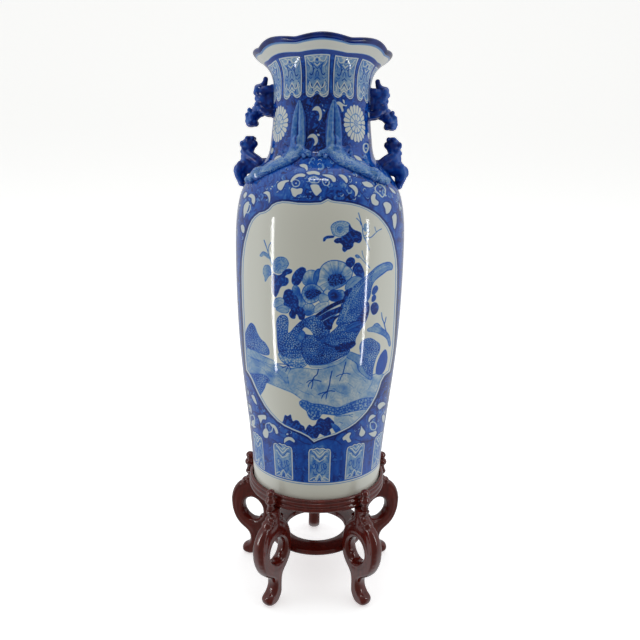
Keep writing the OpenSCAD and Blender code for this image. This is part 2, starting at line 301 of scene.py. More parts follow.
def picture(s):
    """The garden scene in the large panel: peonies, a pair of long-tailed birds, rocks and a log."""
    wash = lambda k=0.07, b=WASH, f=0.2, seed=5: (lambda x, y, sd: b + k * (noise2(x * f, y * f, seed) * 2 - 1))
    A, L = s.area, s.line
    # twigs, upper right
    for q, w in (([(1075, 258), (1090, 310), (1105, 370), (1112, 430), (1135, 480), (1150, 520), (1160, 548)], 0.8),
                 ([(1060, 300), (1085, 325), (1095, 350)], 0.7), ([(1110, 385), (1135, 365), (1150, 345)], 0.7),
                 ([(1118, 455), (1170, 450), (1200, 425), (1225, 400), (1255, 383)], 0.7),
                 ([(1203, 368), (1212, 400), (1222, 404)], 0.6), ([(1112, 440), (1145, 425), (1160, 400)], 0.6),
                 ([(1055, 590), (1085, 605), (1120, 640), (1145, 668), (1165, 690)], 0.7),
                 ([(1103, 555), (1110, 590), (1125, 625)], 0.6),
                 ([(335, 472), (350, 515), (365, 560), (378, 610), (398, 660)], 0.8),
                 ([(388, 490), (372, 520), (368, 560)], 0.6),
                 ([(1256, 1040), (1262, 1085), (1275, 1120), (1290, 1180), (1300, 1210)], 0.9),
                 ([(1292, 1075), (1285, 1110), (1278, 1130)], 0.7)):
        L(ka(q), 0.62, w)
    A(ka([(1050, 592), (1065, 585), (1085, 600), (1075, 612), (1058, 606)]), 0.4, line=0.6, lw=0.4)
    A(ka([(1120, 350), (1140, 345), (1155, 370), (1140, 400), (1120, 395)]), 0.25, line=0.5, lw=0.4)
    A(ka([(303, 590), (325, 562), (350, 570), (372, 590), (385, 618), (360, 608), (335, 590), (315, 600)]), 0.42, line=0.62, lw=0.4)
    # bud, upper right
    A(ka([(798, 480), (800, 455), (825, 438), (860, 435), (885, 438), (880, 452), (845, 458), (825, 462), (812, 480)]), 0.8)
    A(ka([(865, 400), (860, 365), (882, 338), (925, 322), (970, 325), (1005, 345), (1012, 385), (990, 420), (950, 440), (905, 440), (875, 425)]),
      WASH, line=0.75, lw=0.6, shade=flower(338, 229, 2, 9, 0.5, 0.28))
    for rx, ry in ((46, 48), (30, 34)):
        L([(220 + (930 + rx * math.cos(t)) / 7.84, 180 + (388 + ry * math.sin(t)) / 7.84) for t in np.linspace(0.4, 5.6, 14)], 0.1, 0.45)
    A(ka([(1003, 352), (1018, 372), (1042, 392), (1068, 402), (1092, 414), (1100, 440), (1098, 470), (1080, 492), (1050, 486), (1035, 495), (1030, 520), (1008, 540), (988, 546),
          (966, 562), (950, 545), (952, 512), (930, 492), (905, 495), (884, 478), (905, 458), (940, 450), (975, 428), (1000, 400)]), 0.9, line=0.98, lw=0.4)
    L(ka([(1010, 380), (1000, 440), (985, 500), (970, 545)]), 0.72, 0.35); L(ka([(1000, 440), (1045, 450), (1085, 450)]), 0.72, 0.35)
    L(ka([(995, 455), (940, 470), (900, 478)]), 0.72, 0.35)
    # buds, left
    A(ka([(405, 690), (408, 650), (430, 615), (465, 603), (505, 615), (527, 655), (510, 690), (490, 718), (450, 732), (415, 718)]), WASH, line=0.6, lw=0.6,
      shade=flower(279, 265, 1, 9, 0.48, 0.3))
    for q in ([(440, 640), (470, 625), (495, 650)], [(430, 680), (455, 655), (480, 680), (500, 660)], [(445, 710), (465, 690), (490, 700)]):
        L(ka(q), 0.66, 0.4)
    A(ka([(328, 705), (340, 672), (368, 668), (384, 690), (392, 735), (370, 755), (345, 795), (340, 760), (330, 735)]), WASH, line=0.62, lw=0.45)
    A(ka([(405, 735), (440, 748), (470, 740), (490, 715), (520, 698), (552, 706), (548, 728), (512, 742), (498, 760), (520, 772), (526, 800), (506, 826), (475, 832),
          (458, 850), (445, 885), (425, 915), (406, 890), (400, 840), (398, 790)]), 0.86, line=0.97, lw=0.4)
    L(ka([(500, 730), (450, 780), (420, 840), (415, 890)]), 0.7, 0.35); L(ka([(450, 780), (500, 795)]), 0.7, 0.35)
    # leaves behind the peonies
    A(ka([(553, 800), (556, 760), (572, 728), (596, 702), (632, 684), (660, 700), (658, 740), (640, 770), (622, 800), (600, 824), (570, 822)]), 0.86, line=0.97, lw=0.4)
    L(ka([(640, 700), (605, 745), (575, 800)]), 0.68, 0.4)
    A(ka([(975, 672), (982, 630), (1010, 607), (1040, 618), (1045, 648), (1025, 678), (1000, 690)]), 0.86, line=0.97, lw=0.4)
    A(ka([(1030, 700), (1048, 660), (1080, 650), (1105, 685), (1120, 735), (1110, 765), (1080, 762), (1050, 740)]), 0.84, line=0.97, lw=0.4)
    A(ka([(970, 850), (985, 800), (1030, 760), (1075, 755), (1105, 775), (1070, 815), (1020, 845), (985, 862)]), 0.36, line=0.7, lw=0.5)
    L(ka([(985, 850), (1030, 800), (1080, 775)]), 0.6, 0.35)
    A(ka([(940, 1000), (940, 950), (955, 890), (985, 862), (1026, 850), (1020, 885), (995, 930), (975, 975), (955, 1040)]), 0.88, line=0.97, lw=0.4)
    # side petals
    A(ka([(563, 832), (585, 825), (612, 850), (622, 890), (648, 940), (660, 975), (632, 1000), (600, 985), (585, 945), (570, 905), (556, 865)]), 0.42, line=0.75, lw=0.5,
      shade=flower(300, 290, 4, 14, 0.6, 0.3))
    A(ka([(636, 790), (645, 745), (672, 714), (712, 706), (748, 722), (752, 770), (730, 812), (700, 826), (664, 826), (644, 812)]), 0.4, line=0.75, lw=0.5,
      shade=flower(309, 284, 2, 10, 0.62, 0.28))
    A(ka([(722, 780), (728, 730), (752, 700), (780, 700), (782, 740), (765, 790), (745, 830)]), 0.6, line=0.8, lw=0.5)
    # large peony
    A(ka([(762, 775), (768, 725), (782, 682), (812, 652), (852, 634), (898, 630), (945, 640), (975, 655), (985, 672), (1012, 690), (1028, 722), (1020, 760), (990, 792), (962, 822),
          (920, 846), (868, 862), (826, 876), (785, 884), (756, 862), (748, 812)]), WASH, line=0.8, lw=0.7, shade=flower(335.3, 279.5, 4.5, 15, 0.62, 0.2))
    for q in ([(800, 690), (830, 725), (850, 750)], [(850, 645), (868, 700), (880, 740)], [(915, 640), (915, 700), (910, 740)], [(975, 665), (950, 710), (935, 745)],
              [(1015, 720), (980, 745), (965, 765)], [(775, 760), (810, 765), (838, 780)], [(765, 840), (800, 815), (838, 800)], [(800, 870), (830, 840), (850, 825)]):
        L(ka(q), 0.62, 0.4)
    A(ka([(834, 792), (842, 762), (866, 742), (905, 736), (942, 742), (968, 764), (976, 794), (952, 814), (915, 820), (885, 834), (852, 826)]), 0.9,
      shade=lambda x, y, sd: 0.94 - 0.35 * np.clip((cells(x, y, 1.9, 4) < 0.34), 0, 1))
    # second peony
    A(ka([(638, 860), (660, 830), (705, 814), (748, 824), (780, 850), (802, 880), (792, 905), (768, 935), (735, 958), (690, 968), (655, 950), (632, 905)]), WASH, line=0.8, lw=0.6,
      shade=flower(310, 292.5, 4, 10, 0.6, 0.22))
    A(ka([(652, 892), (672, 868), (715, 858), (760, 862), (785, 884), (765, 902), (735, 915), (700, 934), (670, 926)]), 0.92,
      shade=lambda x, y, sd: 0.95 - 0.3 * np.clip((cells(x, y, 1.8, 6) < 0.3), 0, 1))
    A(ka([(758, 925), (772, 895), (805, 886), (840, 905), (845, 940), (815, 962), (778, 958)]), 0.3, line=0.7, lw=0.5)
    A(ka([(800, 880), (830, 855), (860, 872), (852, 905), (822, 900)]), 0.15, line=0.62, lw=0.45)
    A(ka([(838, 890), (862, 868), (905, 862), (948, 864), (966, 890), (958, 925), (935, 948), (885, 952), (850, 938)]), 0.6, line=0.85, lw=0.5,
      shade=flower(333, 296, 2, 9, 0.9, 0.45))
    A(ka([(645, 985), (690, 968), (725, 985), (732, 1030), (705, 1058), (665, 1062), (642, 1030)]), 0.46, line=0.72, lw=0.5, shade=flower(307, 313, 2, 8, 0.55, 0.32))
    A(ka([(728, 1000), (760, 968), (805, 955), (842, 958), (835, 985), (795, 1008), (752, 1035), (730, 1040)]), 0.2, line=0.66, lw=0.5)
    L(ka([(745, 1010), (780, 985), (820, 970)]), 0.5, 0.35)
    # left cluster
    A(ka([(488, 900), (500, 868), (530, 856), (556, 870), (562, 896), (590, 912), (604, 950), (606, 990), (640, 1010), (656, 1052), (645, 1092), (615, 1092), (600, 1060), (585, 1052),
          (575, 1085), (545, 1078), (532, 1045), (545, 1018), (522, 990), (495, 985), (482, 945)]), 0.88, line=0.98, lw=0.4)
    L(ka([(520, 880), (560, 950), (600, 1020), (630, 1075)]), 0.7, 0.4); L(ka([(560, 950), (510, 950)]), 0.7, 0.35)
    A(ka([(412, 965), (425, 932), (462, 922), (488, 935), (490, 965), (465, 985), (430, 1000), (412, 990)]), 0.3, line=0.66, lw=0.5)
    A(ka([(430, 1010), (460, 985), (505, 985), (532, 1010), (520, 1040), (485, 1042), (450, 1030)]), 0.34, line=0.66, lw=0.5)
    L(ka([(425, 960), (455, 945), (480, 955)]), 0.55, 0.35); L(ka([(450, 1010), (480, 1000), (510, 1015)]), 0.55, 0.35)
    # right of the birds
    A(ka([(1062, 1118), (1082, 1050), (1112, 985), (1150, 958), (1160, 1000), (1150, 1060), (1125, 1118), (1092, 1140)]), 0.86, line=0.97, lw=0.4)
    A(ka([(1180, 1040), (1172, 1000), (1190, 965), (1218, 965), (1232, 1000), (1218, 1040), (1195, 1055)]), 0.84, line=0.97, lw=0.4)
    A(ka([(1182, 890), (1190, 850), (1215, 828), (1228, 850), (1215, 880), (1195, 898)]), 0.78, line=0.9, lw=0.4)
    A(ka([(1180, 950), (1184, 915), (1205, 900), (1212, 925), (1198, 950)]), 0.74, line=0.9, lw=0.4)
    A(ka([(1150, 1165), (1185, 1150), (1205, 1128), (1230, 1125), (1255, 1155), (1290, 1185), (1318, 1225), (1326, 1290), (1315, 1300), (1300, 1250), (1272, 1222), (1238, 1205), (1190, 1190), (1150, 1185)]),
      0.42, line=0.7, lw=0.5)
    for c in ((1215, 1135), (1245, 1150)):
        s.dot(ka([c])[0], 1.0, 0.3)
    # log and rock slope, pale
    slope = kb([(196, -15), (230, 0), (290, 32), (360, 62), (420, 100), (470, 128), (540, 142), (640, 140), (740, 152), (830, 140), (880, 112), (940, 70), (985, 40), (1020, 30), (1060, 90),
                (1100, 160), (1165, 200), (1215, 185), (1272, 190), (1300, 215), (1265, 300), (1235, 352), (1180, 380), (1110, 388), (1040, 402), (970, 428), (915, 452), (850, 440),
                (780, 425), (700, 420), (650, 398), (610, 372), (565, 340), (500, 312), (420, 280), (350, 250), (300, 225), (215, 185)])
    A(slope, PALE, line=0.6, lw=0.6, shade=wash(0.07, 0.24, 0.11, 8))
    A(kb([(205, 45), (300, 60), (380, 110), (470, 160), (520, 200), (530, 270), (560, 330), (480, 300), (380, 262), (300, 225), (225, 180)]), 0.36, shade=wash(0.08, 0.36, 0.16, 9))
    A(kb([(205, -20), (260, 0), (330, 50), (400, 78), (440, 118), (400, 118), (330, 92), (250, 62), (200, 30)]), 0.3, shade=wash(0.08, 0.3, 0.2, 10), line=0.55, lw=0.4)
    for q in ([(230, 60), (320, 98), (400, 150), (455, 190), (510, 260)], [(455, 215), (490, 240), (500, 262)], [(545, 150), (520, 200), (530, 270)], [(590, 300), (640, 330), (700, 350)],
              [(1020, 120), (1050, 175), (1110, 215), (1160, 232)], [(995, 262), (1020, 280), (1040, 300)], [(1110, 225), (1135, 250)], [(1190, 210), (1180, 260), (1150, 310)],
              [(700, 340), (730, 362)], [(1075, 330), (1100, 345)], [(640, 270), (600, 250)], [(880, 300), (920, 330), (960, 340)], [(270, 120), (330, 150), (360, 190)]):
        L(kb(q), 0.52, 0.5)
    # textured rocks
    A(ka([(186, 1268), (195, 1190), (212, 1145), (235, 1122), (262, 1148), (282, 1200), (310, 1248), (345, 1280), (372, 1330), (372, 1368), (330, 1368), (270, 1340), (215, 1318)]), 0.5,
      line=0.68, lw=0.5, shade=scales(s, 1.5, 11, 0.5, 0.8, 0.3))
    A(kb([(222, 185), (260, 188), (330, 192), (378, 236), (352, 262), (338, 300), (312, 345), (290, 362), (262, 310), (240, 250)]), 0.5, line=0.66, lw=0.5, shade=scales(s, 1.5, 12, 0.5, 0.8, 0.3))
    A(ka([(1085, 1310), (1098, 1272), (1130, 1248), (1170, 1240), (1210, 1262), (1242, 1290), (1240, 1340), (1218, 1385), (1200, 1440), (1188, 1500), (1175, 1555), (1120, 1500), (1100, 1420), (1090, 1360)]),
      0.45, line=0.7, lw=0.5, shade=scales(s, 1.6, 13, 0.46, 0.8, 0.26))
    A(ka([(982, 1352), (1015, 1348), (1062, 1366), (1096, 1380), (1100, 1420), (1112, 1470), (1140, 1515), (1178, 1545), (1170, 1565), (1120, 1535), (1075, 1490), (1060, 1440), (1020, 1410), (985, 1390)]),
      0.42, line=0.72, lw=0.55)
    A(ka([(1212, 1510), (1222, 1440), (1250, 1370), (1288, 1330), (1302, 1390), (1290, 1460), (1268, 1508), (1240, 1525)]), 0.72, line=0.85, lw=0.4)
    for q in ([(1140, 1400), (1150, 1460), (1165, 1520)], [(1180, 1390), (1178, 1450), (1180, 1500)]):
        L(ka(q), 0.75, 0.5)
    # long-tailed birds
    A(ka([(905, 1130), (918, 1080), (935, 1020), (960, 970), (985, 925), (1020, 862), (1070, 805), (1120, 765), (1165, 728), (1215, 682), (1270, 652), (1318, 645), (1342, 668), (1338, 700), (1318, 706),
          (1300, 712), (1270, 735), (1230, 765), (1195, 800), (1176, 850), (1165, 910), (1140, 960), (1110, 1010), (1080, 1070), (1050, 1110), (985, 1150)]), 0.46, line=0.75, lw=0.6,
      shade=scales(s, 1.7, 21, 0.5, 0.72, 0.3))
    A(ka([(1178, 770), (1200, 712), (1250, 668), (1305, 650), (1335, 660), (1338, 700), (1300, 708), (1262, 735), (1220, 768), (1190, 805)]), 0.42, line=0.62, lw=0.5)
    L(ka([(960, 1100), (1010, 960), (1080, 850), (1160, 760), (1240, 700), (1310, 670)]), 0.28, 0.6)
    A(ka([(436, 1180), (434, 1130), (440, 1090), (462, 1063), (492, 1060), (516, 1078), (525, 1120), (520, 1165), (522, 1200), (545, 1190), (580, 1148), (625, 1108), (680, 1078), (740, 1060),
          (790, 1075), (815, 1110), (825, 1150), (850, 1180), (830, 1230), (790, 1265), (700, 1290), (640, 1330), (640, 1395), (560, 1402), (480, 1385), (448, 1330), (440, 1250)]), 0.5,
      line=0.8, lw=0.7, shade=scales(s, 1.9, 22, 0.52, 0.86, 0.28))
    A(ka([(448, 1360), (500, 1388), (570, 1400), (640, 1392), (672, 1440), (640, 1466), (570, 1466), (500, 1440), (462, 1405)]), 0.26, line=0.62, lw=0.5, shade=scales(s, 2.2, 23, 0.3, 0.55, 0.15))
    # near bird
    A(ka([(800, 1262), (840, 1215), (890, 1170), (935, 1130), (985, 1120), (1050, 1108), (1105, 1112), (1118, 1135), (1095, 1165), (1075, 1200), (1052, 1245), (1045, 1275), (1000, 1288),
          (940, 1300), (880, 1320), (835, 1300)]), 0.5, line=0.8, lw=0.6, shade=scales(s, 1.8, 24, 0.5, 0.82, 0.3))
    A(ka([(628, 1310), (640, 1255), (668, 1222), (705, 1212), (745, 1230), (785, 1258), (830, 1285), (885, 1302), (950, 1322), (1005, 1330), (985, 1362), (930, 1395), (870, 1425), (800, 1444),
          (730, 1450), (680, 1444), (650, 1400), (634, 1355)]), 0.55, line=0.88, lw=0.7, shade=scales(s, 1.8, 25, 0.56, 0.92, 0.34))
    A(ka([(690, 1450), (760, 1452), (850, 1440), (930, 1410), (985, 1372), (960, 1420), (880, 1458), (790, 1470), (720, 1472)]), 0.2, line=0.55, lw=0.4)
    L(ka([(735, 1228), (800, 1278), (880, 1310), (905, 1330)]), 0.95, 0.6)
    A(ka([(895, 1312), (935, 1288), (990, 1272), (1040, 1268), (1052, 1286), (1028, 1312), (985, 1335), (935, 1348), (905, 1340)]), 0.92, line=0.98, lw=0.4)
    A(ka([(975, 1165), (1005, 1130), (1050, 1108), (1095, 1108), (1095, 1135), (1060, 1150), (1085, 1165), (1060, 1190), (1020, 1188), (990, 1200)]), 0.62, line=0.95, lw=0.5)
    for q in ([(990, 1160), (1040, 1130), (1090, 1118)], [(1000, 1180), (1040, 1160), (1080, 1155)], [(850, 1230), (920, 1200), (980, 1190)], [(860, 1260), (930, 1240), (1000, 1240)]):
        L(ka(q), 0.9, 0.5)
    # neck patch, wing quills
    A(ka([(632, 1175), (655, 1152), (685, 1165), (712, 1192), (720, 1215), (690, 1216), (660, 1208), (645, 1190)]), 0.04, line=0.8, lw=0.5)
    A(ka([(600, 1220), (628, 1180), (655, 1200), (650, 1240), (625, 1262), (602, 1250)]), 0.58, line=0.85, lw=0.5)
    A(ka([(738, 1062), (790, 1020), (850, 980), (910, 952), (958, 940), (962, 958), (905, 985), (845, 1020), (790, 1060), (760, 1075)]), 0.95, line=0.99, lw=0.4)
    A(ka([(770, 1080), (830, 1035), (900, 1005), (948, 990), (940, 1025), (890, 1060), (835, 1085), (790, 1100)]), 0.9, line=0.99, lw=0.4)
    A(ka([(800, 1112), (845, 1085), (900, 1065), (925, 1062), (890, 1095), (870, 1135), (862, 1168), (828, 1172), (815, 1140)]), 0.9, line=0.99, lw=0.4)
    for q in ([(765, 1068), (830, 1028), (900, 988), (950, 968)], [(800, 1102), (860, 1068), (920, 1045)]):
        L(ka(q), 0.08, 0.5)
    # feet
    for q, w in (([(760, 150), (752, 188), (728, 212), (715, 238)], 0.9), ([(718, 236), (690, 240), (668, 256)], 0.7), ([(714, 240), (690, 262), (682, 290)], 0.7), ([(716, 240), (715, 270), (706, 304)], 0.7),
                 ([(722, 234), (752, 238), (782, 246)], 0.7), ([(868, 165), (855, 220), (848, 270), (832, 322)], 0.9), ([(830, 325), (795, 335), (762, 348)], 0.7), ([(828, 328), (800, 350), (786, 378)], 0.7),
                 ([(832, 330), (826, 358), (820, 384)], 0.7), ([(838, 322), (862, 320), (888, 324)], 0.7), ([(976, 95), (962, 150), (952, 188)], 0.8), ([(950, 190), (925, 195), (902, 208)], 0.6),
                 ([(950, 192), (938, 212), (928, 242)], 0.6), ([(955, 186), (985, 182), (1010, 190)], 0.6), ([(530, 122), (505, 128), (480, 140)], 0.7), ([(530, 122), (515, 145), (505, 168)], 0.6),
                 ([(530, 122), (540, 142), (545, 150)], 0.6), ([(530, 120), (500, 112), (440, 108)], 0.7), ([(460, 1410), (500, 1452), (560, 1470), (640, 1478), (720, 1478), (800, 1490)], 0.0)):
        if w:
            L(kb(q), 0.93, w)
    # broken log end, lower slope and leaves
    A(kb([(885, 520), (935, 502), (1000, 492), (1080, 480), (1150, 470), (1120, 520), (1060, 570), (1000, 615), (950, 645), (925, 620), (890, 575)]), 0.22, shade=wash(0.06, 0.2, 0.15, 14))
    A(kb([(612, 412), (628, 395), (668, 400), (710, 420), (770, 428), (840, 440), (905, 455), (960, 440), (1010, 418), (1080, 388), (1150, 375), (1210, 378), (1232, 400), (1170, 455), (1100, 470),
          (1030, 482), (960, 500), (900, 512), (840, 505), (790, 502), (770, 530), (735, 548), (700, 540), (680, 512), (668, 478), (640, 455), (620, 436)]), 0.46, line=0.74, lw=0.55,
      shade=scales(s, 2.6, 26, 0.42, 0.66, 0.3))
    for q in ([(700, 430), (790, 450), (880, 478), (990, 450), (1100, 420), (1200, 400)], [(690, 470), (760, 480), (830, 490)], [(930, 490), (1020, 455), (1120, 440)], [(900, 520), (960, 515), (1030, 505)],
              [(930, 565), (950, 575)], [(1000, 510), (1030, 525)]):
        L(kb(q), 0.72, 0.5)
    A(kb([(480, 582), (490, 545), (500, 512), (520, 520), (542, 508), (550, 535), (562, 560), (585, 552), (605, 560), (622, 585), (648, 602), (655, 640), (640, 662), (600, 655), (555, 632), (512, 608)]), 0.86, line=0.95, lw=0.4)
    A(kb([(655, 655), (668, 615), (690, 588), (715, 600), (742, 582), (752, 555), (775, 535), (805, 545), (838, 528), (865, 548), (885, 572), (872, 605), (848, 625), (858, 655), (838, 678), (800, 668),
          (772, 655), (748, 690), (712, 690), (680, 678)]), 0.88, line=0.96, lw=0.4)
    A(kb([(858, 570), (890, 582), (925, 610), (935, 640), (905, 652), (875, 615)]), 0.6, line=0.8, lw=0.4)
    for q in ([(500, 540), (560, 590), (620, 640)], [(690, 600), (720, 640), (710, 680)], [(780, 545), (810, 600), (800, 655)]):
        L(kb(q), 0.68, 0.35)


SHOULDER = [
    [(435, 1390), (438, 1362), (462, 1342), (492, 1332), (530, 1330), (532, 1345), (506, 1358), (492, 1385), (472, 1416), (448, 1412)],
    [(540, 1405), (556, 1388), (590, 1398), (625, 1392), (642, 1408), (630, 1442), (600, 1452), (580, 1470), (556, 1458), (546, 1432)],
    [(536, 1345), (556, 1308), (594, 1282), (640, 1278), (664, 1292), (648, 1312), (606, 1312), (574, 1332), (552, 1352)],
    [(662, 1272), (700, 1258), (742, 1258), (776, 1276), (768, 1298), (724, 1290), (684, 1294)],
    [(778, 1290), (824, 1284), (872, 1292), (900, 1318), (898, 1348), (872, 1350), (852, 1325), (812, 1308)],
    [(694, 1372), (726, 1362), (762, 1368), (778, 1392), (790, 1418), (772, 1440), (745, 1460), (722, 1440), (702, 1405)],
    [(912, 1290), (950, 1286), (982, 1306), (996, 1340), (980, 1362), (962, 1342), (938, 1318)],
    [(608, 1212), (646, 1202), (676, 1216), (682, 1248), (668, 1266), (650, 1242), (622, 1232)],
    [(994, 1376), (1030, 1366), (1062, 1386), (1076, 1420), (1064, 1456), (1042, 1466), (1044, 1430), (1022, 1402)],
    [(1098, 1348), (1142, 1340), (1178, 1358), (1196, 1384), (1164, 1394), (1124, 1384), (1108, 1368)],
    [(1172, 1500), (1170, 1462), (1190, 1438), (1214, 1444), (1212, 1478), (1236, 1500), (1232, 1530), (1206, 1536), (1182, 1522)],
    [(324, 1436), (352, 1416), (380, 1424), (388, 1458), (384, 1500), (368, 1522), (366, 1478), (350, 1450)],
    [(206, 1462), (232, 1436), (262, 1452), (270, 1492), (256, 1528), (236, 1510), (232, 1478)],
    [(170, 1452), (190, 1424), (206, 1434), (196, 1466), (178, 1480)],
    [(1308, 1384), (1334, 1392), (1362, 1418), (1372, 1444), (1340, 1432)],
    [(1266, 1520), (1290, 1500), (1322, 1512), (1338, 1545), (1320, 1590), (1290, 1600), (1282, 1560)],
    [(384, 1120), (392, 1082), (408, 1076), (414, 1098), (400, 1130)],
    [(410, 1172), (430, 1144), (464, 1136), (484, 1150), (456, 1160), (432, 1180)],
    [(1034, 1136), (1068, 1140), (1096, 1160), (1114, 1196), (1084, 1186), (1052, 1166)],
    [(170, 1580), (176, 1530), (200, 1500), (222, 1505), (214, 1560), (190, 1610), (176, 1640)],
    [(150, 1690), (172, 1680), (186, 1712), (180, 1752), (158, 1740)],
    [(1388, 1500), (1404, 1520), (1412, 1560), (1398, 1580)],
    [(1340, 1650), (1336, 1618), (1362, 1590), (1378, 1612), (1376, 1680), (1362, 1722), (1346, 1700)],
]
SHOULDER_RINGS = [([(1205, 1400), (1225, 1372), (1256, 1372), (1282, 1402), (1284, 1440), (1262, 1466), (1236, 1440), (1216, 1424)], 1.2),
                  ([(1118, 1056), (1146, 1050), (1152, 1084), (1136, 1116), (1118, 1098)], 1.5),
                  ([(556, 1340), (584, 1330), (612, 1346), (606, 1376), (576, 1384), (556, 1366)], 0.9),
                  ([(690, 1320), (724, 1308), (760, 1318), (764, 1348), (730, 1356), (696, 1346)], 0.9),
                  ([(790, 1330), (820, 1326), (846, 1344), (838, 1372), (808, 1372)], 0.9),
                  ([(190, 1545), (206, 1520), (226, 1530), (222, 1570), (200, 1590)], 1.0)]
LOWER = [
    [(232, 352), (256, 352), (272, 385), (284, 432), (262, 418), (244, 386)],
    [(210, 420), (232, 432), (242, 470), (238, 505), (220, 470)],
    [(284, 512), (320, 504), (352, 512), (352, 548), (326, 548), (312, 582), (298, 556), (290, 534)],
    [(322, 645), (338, 614), (362, 618), (374, 650), (366, 690), (342, 690), (328, 672)],
    [(378, 578), (410, 580), (436, 606), (450, 650), (428, 660), (412, 620), (390, 600)],
    [(492, 696), (520, 678), (556, 684), (580, 712), (570, 728), (535, 710), (508, 722), (490, 736)],
    [(506, 655), (524, 650), (530, 664), (512, 670)],
    [(1222, 440), (1240, 414), (1272, 404), (1292, 424), (1270, 446), (1240, 470)],
    [(1150, 552), (1160, 520), (1186, 502), (1214, 514), (1200, 532), (1176, 548), (1158, 574)],
    [(1078, 662), (1090, 620), (1094, 588), (1112, 612), (1132, 640), (1122, 668), (1098, 682)],
    [(1152, 654), (1184, 640), (1214, 628), (1222, 652), (1206, 682), (1180, 680)],
    [(948, 688), (966, 668), (1000, 644), (1022, 650), (1008, 682), (1022, 716), (994, 728), (974, 708), (956, 712)],
    [(1258, 520), (1276, 500), (1288, 524), (1276, 570), (1262, 560)],
    [(252, 250), (262, 262), (258, 290)],
    [(206, 300), (218, 330), (214, 360), (204, 340)],
    [(236, 560), (258, 545), (262, 590), (284, 604), (250, 610)],
]
LOWER_RINGS = [([(226, 520), (250, 512), (262, 545), (256, 590), (234, 580)], 1.0), ([(352, 580), (384, 574), (402, 606), (392, 640), (364, 640), (350, 612)], 0.9),
               ([(1170, 572), (1200, 566), (1216, 592), (1206, 624), (1176, 620)], 0.9)]


def comma(cx, cy, size, turn, flip=1):
    """One white scroll leaf of the ground pattern."""
    q = [(-1, 0.1), (-0.75, -0.45), (-0.2, -0.75), (0.4, -0.6), (0.85, -0.1), (0.8, 0.45), (0.45, 0.85), (0.3, 0.5), (0.35, 0.1), (0, -0.2), (-0.45, -0.1), (-0.7, 0.3)]
    c, s = math.cos(math.radians(turn)), math.sin(math.radians(turn))
    return [(cx + size * (x * flip * c - y * s), cy + size * (x * flip * s + y * c)) for x, y in q]


